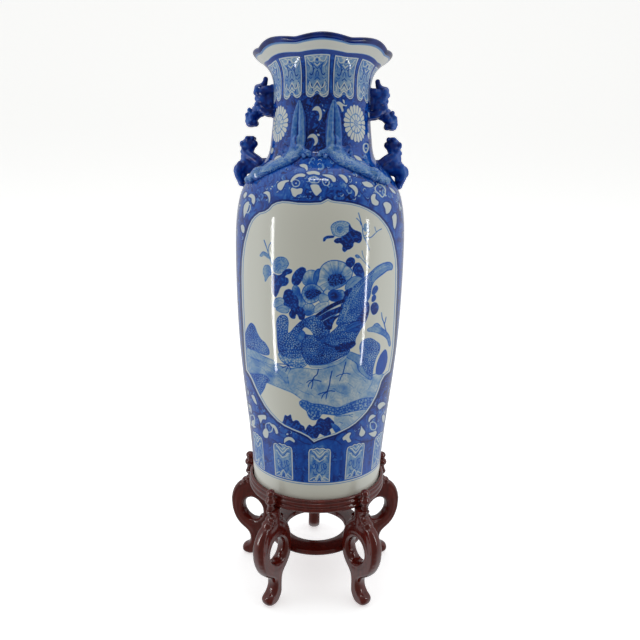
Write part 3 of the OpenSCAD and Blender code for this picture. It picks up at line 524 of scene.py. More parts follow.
def lappet(s, w, top, bottom, foot=False):
    """A pendant panel in local mm: x across, y up."""
    A, L = s.area, s.line
    if not foot:
        p = [(-w, top), (w, top), (w + .2, (top + bottom) / 2), (w, bottom + 9), (w - 0.6, bottom + 4.2), (w - 3.2, bottom + 1), (w - 8, bottom - 0.2), (w - 12.5, bottom + 1.8), (3.2, bottom + 3.4), (0, bottom + 5.4)]
        p = p + [(-x, y) for x, y in p[:1:-1] if x > 0]
        A(p, 0.33, line=0.93, lw=1.2, round_=False, shade=lambda x, y, sd: 0.33 + 0.07 * np.sin(x * 0.9) * np.sin(y * 0.35 + 1))
        A(p, 0, round_=False, inset=1.0, shade=lambda x, y, sd: np.where(sd > -1.25, 0.02, np.where(sd > -1.9, 0.62, 0.34)))
        b = bottom
        for q, v, k in (([(-w + 3, b + 8), (-w + 4.4, b + 5.4), (-8, b + 3.8), (-4.6, b + 5.6), (-2, b + 8.6), (0, b + 9.6)], 0.0, 1.1),
                        ([(-8, b + 17), (-6.6, b + 12.2), (-3.4, b + 14.6), (0, b + 18.4)], 0.9, 1.2),
                        ([(-10.5, b + 19.8), (-9.4, b + 15.2), (-6, b + 12.4), (-3, b + 16.2), (0, b + 20.6)], 0.0, 1.2),
                        ([(-5.4, b + 10.4), (-2.4, b + 11.4), (0, b + 14.4)], 0.0, 1.1),
                        ([(-12.2, b + 9), (-11, b + 12.4), (-12.6, b + 15)], 0.0, 0.9),
                        ([(-6.5, b + 40), (-5.2, b + 35), (-6.2, b + 30), (-8.6, b + 28.4), (-10.4, b + 30)], 0.84, 1.2),
                        ([(-5.4, b + 34), (-3.4, b + 36.4)], 0.84, 1.0),
                        ([(-w + 2.4, b + 22), (-w + 2.6, b + 34), (-w + 2.4, b + 44)], 0.5, 0.7)):
            L(q, v, k); L([(-x, y) for x, y in q], v, k)
        # scrolls at the top
        for q, v, k in (([(-12, top - 3), (-9, top - 8), (-4.5, top - 7), (-3.6, top - 3.4), (-6.6, top - 3)], 0.02, 0.9), ([(0, top - 13), (-3.6, top - 10), (-2.4, top - 5), (0, top - 3.4)], 0.02, 0.9),
                        ([(-8, top - 11), (-4.5, top - 12.5), (0, top - 16.5)], 0.8, 0.9), ([(-12.5, top - 7.5), (-11, top - 11), (-8, top - 13.6)], 0.02, 0.8)):
            L(q, v, k); L([(-x, y) for x, y in q], v, k)
        s.dot((0, top - 6.4), 1.4, 0.75)
        for q, v, k in (([(-12.4, b + 26), (-9.6, b + 24), (-7, b + 25.4)], 0.66, 0.7), ([(-12, b + 33), (-11, b + 37), (-12.6, b + 41)], 0.62, 0.7), ([(-2.4, b + 27), (-1.6, b + 31), (0, b + 33.6)], 0.84, 0.8),
                        ([(-9, b + 43), (-6, b + 41.6), (-3, b + 43), (0, b + 40.6)], 0.66, 0.7), ([(-3.4, b + 22.6), (0, b + 25.2)], 0.86, 1.0), ([(-12.6, b + 19), (-11.4, b + 21.6)], 0.84, 0.9),
                        ([(-7.4, b + 8.4), (-5.8, b + 9.6), (-7.2, b + 11)], 0.84, 0.9), ([(-3, b + 5.6), (0, b + 7.4)], 0.8, 0.8), ([(-14, b + 12), (-13.8, b + 30), (-14, b + 46)], 0.44, 0.6)):
            L(q, v, k); L([(-x, y) for x, y in q], v, k)
    else:
        h = top
        p = [(-w, bottom), (w, bottom), (w, h - 6), (w - 1.2, h - 1.6), (w - 4.6, h), (w - 8, h - 0.4), (w - 9.4, h + 0.8), (3, h + 1.8), (0, h + 0.4)]
        p = p + [(-x, y) for x, y in p[:1:-1] if x > 0]
        A(p, 0.33, line=0.86, lw=1.0, round_=False)
        A(p, 0, round_=False, inset=0.7, shade=lambda x, y, sd: np.where(sd > -1.3, 0.03, np.where(sd > -2.0, 0.62, 0.40 + 0.1 * np.sin(x * 0.7) * np.sin(y * 0.24))))
        for q, v, k in (([(-9.6, h - 3.4), (-6.4, h - 5.4), (-3.6, h - 9.4), (0, h - 12.4)], 0.0, 1.1), ([(-9.8, h - 7.6), (-6.6, h - 9.4), (-3.4, h - 13.6), (0, h - 16.4)], 0.86, 0.8),
                        ([(-4.6, h - 3), (-2.4, h - 5.4), (0, h - 7.6)], 0.0, 0.9), ([(-10, h - 11.4), (-7.4, h - 12), (-6.4, h - 15), (-3.6, h - 17), (0, h - 19.6)], 0.0, 0.9),
                        ([(-9, h - 24), (-6, h - 22), (-5, h - 27), (-8, h - 30), (-9.6, h - 26.6)], 0.72, 1.0), ([(-3.4, h - 23), (-2.4, h - 27), (-3.6, h - 32), (0, h - 36)], 0.7, 1.0),
                        ([(-8, h - 34), (-6.4, h - 38), (-3, h - 38)], 0.7, 1.0), ([(-w + 3, bottom + 4), (-6, bottom + 8), (-5, bottom + 4), (-8, bottom + 3)], 0.02, 1.0),
                        ([(-3.4, bottom + 3), (-3, bottom + 8), (0, bottom + 12.4)], 0.02, 1.0), ([(-2, bottom + 2), (0, bottom + 6)], 0.8, 1.0)):
            L(q, v, k); L([(-x, y) for x, y in q], v, k)


def chrysanthemum(s, rx=20.5, ry=24.5):
    n = 20

    def shade(x, y, sd):
        a = np.arctan2(y / ry, x / rx)
        q = np.hypot(x / rx, y / ry)
        k = np.abs(np.sin(a * n / 2))
        v = np.where(k < 0.30, 0.5, 0.03)
        k2 = np.abs(np.sin(a * n / 4 + 0.4))
        v = np.where((q < 0.5) & (k2 < 0.34), 0.5, np.where(q < 0.5, 0.05, v))
        v = np.where(np.abs(q - 0.5) < 0.035, 0.42, v)
        v = np.where(q < 0.2, np.where(np.sin(x * 2.6) * np.sin(y * 2.2) > 0, 0.6, 0.08), v)
        return v
    p = []
    for i in range(n * 6):
        a = i * 2 * math.pi / (n * 6)
        k = 0.90 + 0.10 * abs(math.sin(a * n / 2)) ** 0.7
        p.append((rx * k * math.cos(a), ry * k * math.sin(a)))
    s.area(p, 0.03, line=0.9, lw=0.7, round_=False, shade=shade)


def paint(TH, Z, R):
    """Ink on the outer surface for points at angle TH (degrees), height Z and radius R (mm)."""
    rad = np.radians(TH)
    X, Y = R * np.sin(rad), -R * np.cos(rad)
    U, V = seen(X, Y, Z)
    facing = np.abs(TH) < 82
    T = np.full(TH.shape, GROUND)
    arc = rad * R
    brush = 0.10 * (noise2(arc * 0.045, Z * 0.16, 31) - 0.5) + 0.10 * (noise2(arc * 0.16, Z * 0.05, 32) - 0.5)
    T += brush
    wx, wz = noise2(arc * 0.06, Z * 0.06, 51), noise2(arc * 0.06, Z * 0.06, 52)
    streak = noise2(arc * 0.22 + 7 * wx, Z * 0.10 + 7 * wz, 53)
    calm = np.where(Z < 243, 0.35, np.where(Z > 612, 0.7, 1.0))
    T += 0.26 * (streak - 0.5) * calm
    vein = np.abs(noise2(arc * 0.11 + 5 * wz, Z * 0.11 + 5 * wx, 54) - 0.5)
    T += 0.17 * np.clip((0.045 - vein) / 0.03, 0, 1) * calm
    rng = np.random.default_rng(11)
    s = Sheet(arc, Z, T, 0.4, (Z > 246) & (Z < 640))
    def spot():
        """A place on the cobalt ground: shoulder, foot, or beside the big panels."""
        k = rng.random()
        z = rng.uniform(556, 616) if k < 0.46 else rng.uniform(247, 304) if k < 0.72 else rng.uniform(304, 640)
        a = rng.uniform(-90, 90) if k < 0.72 or z > 556 else (1 if k < 0.86 else -1) * rng.uniform(44, 90)
        return math.radians(a) * float(radius_at(z)), z
    for _ in range(360):
        a, z = spot()
        v = (0.34, 0.42, 0.50, 0.90, 0.97)[rng.integers(5)]
        s.area(comma(a, z, rng.uniform(2.2, 5.0), rng.uniform(0, 360), 1 if rng.random() < 0.5 else -1), v)
    for _ in range(230):
        a, z = spot()
        if z < 612:
            s.area(comma(a, z, rng.uniform(1.6, 3.4), rng.uniform(0, 360), 1 if rng.random() < 0.5 else -1), 0.08, line=0.93, lw=0.6)
    # painted shade: a darker field on the neck under the lappets, darkest between the dragons' raised tails
    k = np.clip((700 - Z) / 10, 0, 1) * np.clip((Z - 612) / 6, 0, 1)
    mid = np.clip((17 - np.abs(TH + 6)) / 3, 0, 1)
    T += k * (0.09 + 0.12 * mid)
    # blades of darker blue between the foot panels
    k = np.clip((243 - Z) / 8, 0, 1)
    T += k * (0.08 * np.cos(np.radians((TH - 2.3) * 12)) * -1 + 0.03 * np.sin(np.radians(TH * 60)))
    # regular parts, drawn in local mm
    for i in range(-3, 4):
        c = -5.5 + 30.2 * i
        k = np.abs(TH - c) < 15.1
        s = Sheet((TH - c) / 13.3 * 17, Z, T, 0.3, k & (Z > 683) & (Z < 741))
        lappet(s, 17, 737.5, 685.5)
    g = (Z > 176) & (Z < 240)
    for i in range(-3, 4):
        c = 2.3 + 29.9 * i
        s = Sheet((TH - c) * math.pi / 180 * 97, Z, T, 0.3, g & (np.abs(TH - c) < 14))
        lappet(s, 15.2, 231.5, 181.6, foot=True)
    # chrysanthemums on the neck
    for c in (41.0, -56.4):
        s = Sheet((TH - c) * math.pi / 180 * 68.5, Z - 656.5, T, 0.3, np.abs(TH - c) < 26)
        chrysanthemum(s)
    # small leaves between the tails and under the lappets, in the view
    s = Sheet(U, V, T, 0.32, facing & (Z > 500))
    for q in ([(708, 790), (730, 758), (762, 752), (784, 778), (792, 820), (780, 862), (758, 868), (768, 830), (756, 796), (730, 788)],
              [(670, 1010), (690, 978), (724, 968), (752, 990), (760, 1028), (742, 1060), (718, 1064), (730, 1034), (718, 1006), (694, 1004)],
              [(800, 776), (816, 786), (812, 800), (792, 784)], [(748, 968), (772, 972), (770, 990), (752, 986)], [(738, 940), (750, 942), (750, 960)], [(786, 740), (798, 744), (796, 764)],
              [(884, 748), (900, 720), (930, 716), (950, 730), (972, 742), (990, 740), (982, 758), (955, 756), (962, 790), (946, 800), (930, 766), (910, 744)],
              [(948, 700), (966, 704), (970, 738), (956, 728)],
              [(1150, 800), (1164, 806), (1164, 850), (1150, 830)], [(1146, 960), (1164, 970), (1160, 1020), (1146, 990)], [(1150, 890), (1160, 895), (1158, 925)]):
        s.area(kc(q), 0.06, line=0.97, lw=0.5)
    for q in SHOULDER:
        s.area(kc(q), 0.05, line=0.92, lw=0.9)
    for q, w in SHOULDER_RINGS:
        s.line(kc(q), 0.08, w, closed=True)
    for q in ([(560, 1190), (600, 1175), (640, 1170), (700, 1150)], [(800, 1420), (880, 1385), (950, 1400), (990, 1440)], [(840, 1440), (900, 1410), (960, 1440)], [(1000, 1290), (1060, 1310), (1120, 1320)],
              [(300, 1390), (340, 1380), (400, 1370)], [(470, 1280), (520, 1270), (560, 1250)], [(560, 1480), (620, 1475), (700, 1470)], [(1080, 1410), (1110, 1450), (1150, 1500)],
              [(640, 1420), (680, 1450), (700, 1440)], [(270, 1440), (300, 1480), (330, 1540)], [(1250, 1330), (1290, 1370), (1330, 1420)], [(820, 1380), (840, 1400), (826, 1424)]):
        s.line(kc(q), 0.9, 0.9)
    for c in ((585, 1358), (728, 1332), (818, 1350), (1244, 1420), (398, 1384), (388, 1402), (1006, 1306), (1058, 1352), (762, 1246), (1136, 1084), (690, 1340), (1290, 1455)):
        s.dot(kc([c])[0], 0.8, 0.06)
    # front picture panel
    s = Sheet(U, V, T, 0.32, facing)
    s.area(PANEL, 0.98, line=0.93, lw=3.4, round_=False)
    s.area(PANEL, 0.0, round_=False)
    pan = ease(PANEL, True, 1)
    before = T.copy()
    picture(s)
    wash = np.clip((T - 0.12) / 0.08, 0, 1) * np.clip((0.68 - T) / 0.08, 0, 1) * facing
    fib = noise2(U * 0.8 + 5 * noise2(U * 0.12, V * 0.12, 61), V * 0.8 + 5 * noise2(U * 0.12, V * 0.12, 62), 63)
    T += wash * (0.22 * (noise2(U * 0.16, V * 0.16, 64) - 0.42) + 0.16 * (fib - 0.5))
    deep = np.clip((T - 0.74) / 0.08, 0, 1) * facing
    T -= deep * 0.20 * np.clip((fib - 0.60) / 0.12, 0, 1)
    idx = s.window(pan, 3)
    x, y = U.ravel()[idx], V.ravel()[idx]
    sd = np.where(inside(pan, x, y), -edge_distance(pan, x, y), 9)
    t, b = T.ravel(), before.ravel()
    cov = np.clip(0.5 - (sd + 1.5) / 0.7, 0, 1)
    t[idx] = b[idx] * (1 - cov) + t[idx] * cov
    line = np.clip((0.24 - np.abs(sd + 1.5)) / 0.6 + 0.5, 0, 1)
    t[idx] = t[idx] * (1 - line) + 0.62 * line
    out = np.ones(T.size, bool)
    out[idx] = sd > 0.5
    out = out.reshape(T.shape)
    keep = T.copy()
    s = Sheet(U, V, T, 0.32, facing & (Z < 300))
    for q in LOWER:
        s.area(kb(q), 0.05, line=0.9, lw=0.8)
    for q, w in LOWER_RINGS:
        s.line(kb(q), 0.08, w, closed=True)
    for q in ([(250, 480), (300, 500), (300, 470)], [(400, 700), (440, 730), (470, 760)], [(1050, 700), (1120, 720), (1200, 700)], [(600, 700), (650, 730), (700, 740)], [(850, 700), (900, 710), (940, 740)]):
        s.line(kb(q), 0.9, 0.8)
    # sides: a narrow picture strip centred on the quarter line, and scroll leaves round it
    side = 90 - np.abs(TH)                       # degrees from the quarter line, the same on both sides
    sx = side * math.pi / 180 * R
    q = [(0, 520), (9, 512), (12, 505), (20, 498), (23.5, 480), (24, 440), (23, 380), (21.5, 320), (18, 300), (12, 286), (0, 274), (-12, 286), (-18, 300), (-21.5, 320), (-23, 380), (-24, 440), (-23.5, 480), (-20, 498), (-12, 505), (-9, 512)]
    s = Sheet(sx, Z, T, 0.35, side < 26)
    s.area(q, 0.0, line=0.93, lw=3.0)
    s.area(q, 0.0, inset=0.3)
    s.line([(x * 0.86, 397 + (y - 397) * 0.965) for x, y in q], 0.5, 0.6, closed=True)
    s.area([(-1.4, 290), (1.4, 290), (1.0, 360), (1.3, 430), (0.6, 500), (-0.6, 500), (-1.3, 430), (-1.0, 360)], 0.6)
    for zz, ln, up, v in ((318, 15, 14, 0.82), (345, 16, 18, 0.5), (372, 14, 16, 0.84), (402, 16, 20, 0.45), (432, 15, 14, 0.8), (460, 12, 14, 0.5)):
        s.area([(0.5, zz), (ln * 0.4, zz + up * 0.15), (ln, zz + up), (ln * 0.75, zz + up * 1.25), (ln * 0.3, zz + up * 0.9)], v, line=0.9, lw=0.5)
    for zz, rr in ((478, 7.5), (388, 5.5), (334, 5)):
        s.area([(rr * (0.8 + 0.2 * abs(math.cos(3 * t))) * math.cos(t), zz + 1.3 * rr * (0.8 + 0.2 * abs(math.cos(3 * t))) * math.sin(t)) for t in np.linspace(0, 2 * math.pi, 40)[:-1]], 0.3, line=0.85, lw=0.6,
               shade=lambda x, y, sd, zz=zz: np.clip(0.9 - np.hypot(x, (y - zz)) * 0.11, 0.25, 0.9))
    # quarter scroll leaves above and below that strip, and beside the big panel
    s = Sheet(sx, Z, T, 0.35, (side < 34) & (R > 0))
    for cx, cz, sz, tn in ((8, 540, 6, 30), (18, 548, 5.5, 150), (7, 560, 5, 260), (30, 536, 6.5, 80), (40, 546, 6, 200), (16, 572, 5.5, 120), (30, 575, 6, 10), (8, 264, 6, 300), (20, 258, 6, 100), (32, 268, 5.5, 220),
                           (10, 250, 4.5, 40), (40, 262, 6, 330), (26, 284, 5.5, 30), (36, 292, 5, 160), (26, 518, 5.5, 260), (36, 512, 5.5, 90)):
        s.area(comma(cx, cz, sz, tn), 0.05, line=0.92, lw=0.8)
    # rings of line: under the rim, at the foot
    T[...] = np.where(Z > 737.2, np.where(Z > 741.0, 0.0, 0.80), T)
    e = np.clip((Z - 741.0) / 0.8, 0, 1)
    T[...] = np.where(Z > 740.2, 0.80 * (1 - e), T)
    band = np.clip((181.2 - Z) / 0.5 + 0.5, 0, 1)
    T[...] = T * (1 - band)
    for zc, w in ((180.9, 1.0), (178.2, 0.75)):
        c = np.clip((w / 2 - np.abs(Z - zc)) / 0.6 + 0.5, 0, 1)
        T[...] = T * (1 - c) + 0.62 * c
    return np.clip(T, 0, 1)


# ---------------------------------------------------------------- meshes
def grid_mesh(name, P, attrs=None, wrap=False, flip=False):
    """P is rows x columns x 3 in metres."""
    n, m = P.shape[:2]
    v = P.reshape(-1, 3)
    i, j = np.meshgrid(np.arange(n - 1), np.arange(m if wrap else m - 1), indexing="ij")
    a, b = i * m + j, i * m + (j + 1) % m
    f = np.stack([a, b, b + m, a + m], -1).reshape(-1, 4)
    if flip:
        f = f[:, ::-1]
    return make_mesh(name, v, f, attrs)


def make_mesh(name, v, f, attrs=None):
    me = bpy.data.meshes.new(name)
    f = np.asarray(f)
    me.vertices.add(len(v)); me.vertices.foreach_set("co", np.asarray(v, np.float32).ravel())
    me.loops.add(f.size); me.loops.foreach_set("vertex_index", f.ravel().astype(np.int32))
    me.polygons.add(len(f))
    me.polygons.foreach_set("loop_start", np.arange(len(f), dtype=np.int32) * f.shape[1])
    me.polygons.foreach_set("use_smooth", np.ones(len(f), bool))
    me.update(calc_edges=True)
    for k, val in (attrs or {}).items():
        me.attributes.new(k, "FLOAT", "POINT").data.foreach_set("value", np.asarray(val, np.float32).ravel())
    me.validate()
    o = bpy.data.objects.new(name, me)
    SCENE.collection.objects.link(o)
    return o


# ---------------------------------------------------------------- materials
def new_mat(name):
    m = bpy.data.materials.new(name)
    m.use_nodes = True
    nt = m.node_tree
    return m, nt, nt.nodes, nt.links, nt.nodes["Principled BSDF"]


def ramp(nodes, stops):
    r = nodes.new("ShaderNodeValToRGB")
    e = r.color_ramp.elements
    while len(e) > 1:
        e.remove(e[-1])
    e[0].position, e[0].color = stops[0][0], (*stops[0][1], 1)
    for p, c in stops[1:]:
        x = e.new(p)
        x.color = (*c, 1)
    return r


def lin(r, g, b):
    return tuple(((c / 255) / 12.92 if c / 255 <= 0.04045 else ((c / 255 + 0.055) / 1.055) ** 2.4) for c in (r, g, b))


INK = [(0.0, lin(232, 232, 222)), (0.10, lin(208, 218, 224)), (0.22, lin(170, 194, 216)), (0.36, lin(126, 166, 210)), (0.55, lin(52, 116, 202)),
       (0.70, lin(12, 84, 188)), (0.84, lin(5, 46, 138)), (1.0, lin(2, 16, 74))]


def porcelain(name, attribute=True, level=0.0, wobble=0.05):
    """Glazed porcelain: cobalt ink under a clear glaze, with the unevenness of brush washes."""
    m, nt, nodes, links, bs = new_mat(name)
    tc = nodes.new("ShaderNodeTexCoord")
    n1 = nodes.new("ShaderNodeTexNoise"); n1.inputs["Scale"].default_value = 95; n1.inputs["Detail"].default_value = 4; n1.inputs["Roughness"].default_value = 0.6
    n2 = nodes.new("ShaderNodeTexNoise"); n2.inputs["Scale"].default_value = 22; n2.inputs["Detail"].default_value = 3
    links.new(tc.outputs["Object"], n1.inputs["Vector"]); links.new(tc.outputs["Object"], n2.inputs["Vector"])
    s = nodes.new("ShaderNodeMath"); s.operation = "ADD"
    links.new(n1.outputs["Fac"], s.inputs[0]); links.new(n2.outputs["Fac"], s.inputs[1])
    c = nodes.new("ShaderNodeMath"); c.operation = "SUBTRACT"; c.inputs[1].default_value = 1.0
    links.new(s.outputs[0], c.inputs[0])
    if attribute:
        at = nodes.new("ShaderNodeAttribute"); at.attribute_name = "ink"
        src = at.outputs["Fac"]
    else:
        val = nodes.new("ShaderNodeValue"); val.outputs[0].default_value = level
        src = val.outputs[0]
    # brush unevenness grows with ink, the bare glaze stays clean
    amp = nodes.new("ShaderNodeMath"); amp.operation = "MULTIPLY"; amp.inputs[1].default_value = wobble * 4
    links.new(src, amp.inputs[0])
    mul = nodes.new("ShaderNodeMath"); mul.operation = "MULTIPLY"
    links.new(c.outputs[0], mul.inputs[0]); links.new(amp.outputs[0], mul.inputs[1])
    add = nodes.new("ShaderNodeMath"); add.operation = "ADD"; add.use_clamp = True
    links.new(src, add.inputs[0]); links.new(mul.outputs[0], add.inputs[1])
    r = ramp(nodes, INK)
    links.new(add.outputs[0], r.inputs["Fac"]); links.new(r.outputs["Color"], bs.inputs["Base Color"])
    bs.inputs["Roughness"].default_value = 0.09
    bs.inputs["IOR"].default_value = 1.5
    bs.inputs["Specular IOR Level"].default_value = 0.31
    bs.inputs["Coat Weight"].default_value = 0.12
    bs.inputs["Coat Roughness"].default_value = 0.04
    return m


def rosewood(name, dark=1.0, gloss=0.16):
    m, nt, nodes, links, bs = new_mat(name)
    tc = nodes.new("ShaderNodeTexCoord")
    mp = nodes.new("ShaderNodeMapping"); mp.inputs["Scale"].default_value = (30, 30, 6)
    links.new(tc.outputs["Object"], mp.inputs["Vector"])
    n = nodes.new("ShaderNodeTexNoise"); n.inputs["Scale"].default_value = 4; n.inputs["Detail"].default_value = 6; n.inputs["Roughness"].default_value = 0.62; n.inputs["Distortion"].default_value = 1.6
    links.new(mp.outputs["Vector"], n.inputs["Vector"])
    k = dark
    r = ramp(nodes, [(0.25, (0.070 * k, 0.0050 * k, 0.0034 * k)), (0.5, (0.112 * k, 0.0085 * k, 0.0048 * k)), (0.75, (0.165 * k, 0.0150 * k, 0.0074 * k))])
    links.new(n.outputs["Fac"], r.inputs["Fac"]); links.new(r.outputs["Color"], bs.inputs["Base Color"])
    bs.inputs["Roughness"].default_value = gloss
    bs.inputs["Specular IOR Level"].default_value = 0.34
    bs.inputs["Coat Weight"].default_value = 0.22
    bs.inputs["Coat Roughness"].default_value = 0.05
    n2 = nodes.new("ShaderNodeTexNoise"); n2.inputs["Scale"].default_value = 140; n2.inputs["Detail"].default_value = 3
    links.new(tc.outputs["Object"], n2.inputs["Vector"])
    bp = nodes.new("ShaderNodeBump"); bp.inputs["Strength"].default_value = 0.12; bp.inputs["Distance"].default_value = 0.0006
    links.new(n2.outputs["Fac"], bp.inputs["Height"]); links.new(bp.outputs["Normal"], bs.inputs["Normal"])
    return m


M_PAINT = porcelain("porcelain_painted")
M_WHITE = porcelain("porcelain_white", attribute=True, wobble=0.03)
M_WASH = porcelain("porcelain_wash", attribute=True, wobble=0.06)
M_COBALT = porcelain("porcelain_cobalt", attribute=True, wobble=0.08)
M_WOOD = rosewood("rosewood")
M_WOOD2 = rosewood("rosewood_plain", dark=0.8, gloss=0.3)
M_DOWEL = rosewood("dowel_wood", dark=0.6, gloss=0.45)


def finish_piece(o, body, nodes, mat):
    o.data.materials.clear(); o.data.materials.append(mat)
    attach(o, body)
    if nodes:
        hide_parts(*nodes)
    return o


# ---------------------------------------------------------------- the vase
def skin(name, turn, dth, dz, shift):
    rows = outer_rows(dz)
    th = np.linspace(-90, 90, int(round(180 / dth)) + 1)
    TH, RR = np.meshgrid(th, rows[:, 0]); _, ZZ = np.meshgrid(th, rows[:, 1])
    ink = paint(TH, ZZ, RR)
    up = np.arange(len(rows))[:, None] * np.ones_like(TH)
    top = np.argmax(rows[:, 1])
    first = np.nonzero(rows[:, 1] > 750.8)[0][0]
    e = np.clip(up - first, 0, 1)
    ink = ink * (1 - e) + (0.90 + 0.04 * np.sin(np.radians(TH * 23))) * e
    R2, Z2 = lobed(RR, ZZ, TH)
    a = np.radians(TH + turn + VIEW)
    P = np.stack([R2 * np.sin(a), -R2 * np.cos(a), Z2], -1) * MM
    return grid_mesh(name, P, {"ink": ink})


front = skin("vase_skin_front", 0, 0.3, 0.6, 0)
back = skin("vase_skin_back", 180, 0.6, 1.2, 0)
finish_piece(front, "vase", ["vase_body"], M_PAINT)
finish_piece(back, "vase", ["vase_body"], M_PAINT)


def inner_shell():
    """Inner wall, lip underside, thickness and foot: one closed body just beneath the painted skin."""
    o = spline(PROFILE, 4)
    o = [(r - 0.25, z) for r, z in o if z > 152]
    out = [(0.0, 149.05), (60, 149.05), (91.3, 149.05), (93.3, 150.4)] + o
    out = [q for q in out if q[1] < 750.5]
    lip = [(LIP_C[0] + (LIP_R - 0.25) * math.cos(t), LIP_C[1] + (LIP_R - 0.25) * math.sin(t)) for t in np.linspace(math.radians(-55), math.radians(180), 14)]
    inn = [(r - 5.6 - 0.8 * (z < 700), z) for r, z in o if z > 160][::-1]
    inn = [q for q in inn if q[1] < 744]
    prof = np.array(out + lip + [(88.6, 751.7)] + inn + [(84, 158.5), (60, 158), (0.0, 158)])
    th = np.linspace(0, 360, 361)[:-1]
    TH, RR = np.meshgrid(th, prof[:, 0]); _, ZZ = np.meshgrid(th, prof[:, 1])
    R2, Z2 = lobed(RR, ZZ, TH)
    a = np.radians(TH + VIEW)
    P = np.stack([R2 * np.sin(a), -R2 * np.cos(a), Z2], -1) * MM
    n = len(out)
    ink = np.zeros(TH.shape)
    ink[n:n + 13] = 0.88
    b = grid_mesh("vase_inner", P, {"ink": ink}, wrap=True)
    bm = bmesh.new(); bm.from_mesh(b.data); bmesh.ops.remove_doubles(bm, verts=bm.verts, dist=2e-6); bmesh.ops.recalc_face_normals(bm, faces=bm.faces); bm.to_mesh(b.data); bm.free()
    return b


finish_piece(inner_shell(), "vase", [], M_WHITE)


# ---------------------------------------------------------------- modelled animals
def lump(bm, c, r, rot=None, seg=16):
    """Ellipsoid; r is one number or three."""
    r = (r, r, r) if not hasattr(r, "__len__") else r
    m = Matrix.Translation(Vector(c)) @ (rot.to_4x4() if rot is not None else Matrix.Identity(4)) @ Matrix.Diagonal((*r, 1))
    bmesh.ops.create_uvsphere(bm, u_segments=seg, v_segments=seg * 2 // 3, radius=1, matrix=m)


def tube(bm, pts, radii, seg=12, flat=1.0, normal=None):
    """Tapered tube through pts with round ends."""
    q = spline([(*p, r) for p, r in zip(pts, radii)], 1.2)
    for a in q[::1]:
        pass
    prev = None
    rings = []
    n = len(q)
    for i in range(n):
        p = Vector(q[i][:3])
        d = Vector(q[min(i + 1, n - 1)][:3]) - Vector(q[max(i - 1, 0)][:3])
        d.normalize()
        if normal is not None:
            nz = Vector(normal(p)) if callable(normal) else Vector(normal)
            s = d.cross(nz); s.normalize(); nz = s.cross(d)
        else:
            if prev is None:
                prev = Vector((0, 1, 0)) if abs(d.y) < 0.9 else Vector((1, 0, 0))
            s = (prev - d * prev.dot(d)).normalized(); nz = d.cross(s); prev = s
        ring = []
        for k in range(seg):
            t = 2 * math.pi * k / seg
            ring.append(bm.verts.new(p + s * (q[i][3] * math.cos(t)) + nz * (q[i][3] * flat * math.sin(t))))
        rings.append(ring)
    for a, b in zip(rings, rings[1:]):
        for k in range(seg):
            bm.faces.new((a[k], a[(k + 1) % seg], b[(k + 1) % seg], b[k]))
    bm.faces.new(rings[0][::-1]); bm.faces.new(rings[-1])
    lump(bm, q[0][:3], q[0][3] * 0.98, seg=10); lump(bm, q[-1][:3], q[-1][3] * 0.98, seg=10)


def sculpt(name, bm, voxel, smooth=2, scale=MM, place=None):
    """Joins overlapping lumps into one skin."""
    me = bpy.data.meshes.new(name)
    bmesh.ops.recalc_face_normals(bm, faces=bm.faces)
    bm.to_mesh(me); bm.free()
    o = bpy.data.objects.new(name, me)
    SCENE.collection.objects.link(o)
    md = o.modifiers.new("r", "REMESH"); md.mode = "VOXEL"; md.voxel_size = voxel * 1
    if smooth:
        sm = o.modifiers.new("s", "SMOOTH"); sm.iterations = smooth; sm.factor = 0.5
    dg = bpy.context.evaluated_depsgraph_get()
    new = bpy.data.meshes.new_from_object(o.evaluated_get(dg))
    o.modifiers.clear(); o.data = new
    new.transform((place or Matrix.Identity(4)) @ Matrix.Diagonal((scale, scale, scale, 1)))
    new.polygons.foreach_set("use_smooth", np.ones(len(new.polygons), bool))
    new.update()
    return o


def coords(o):
    c = np.zeros(len(o.data.vertices) * 3, np.float32); o.data.vertices.foreach_get("co", c)
    return c.reshape(-1, 3).astype(float)


def normals(o):
    c = np.zeros(len(o.data.vertices) * 3, np.float32); o.data.vertices.foreach_get("normal", c)
    return c.reshape(-1, 3).astype(float)


def set_ink(o, val):
    o.data.attributes.new("ink", "FLOAT", "POINT").data.foreach_set("value", np.asarray(val, np.float32))


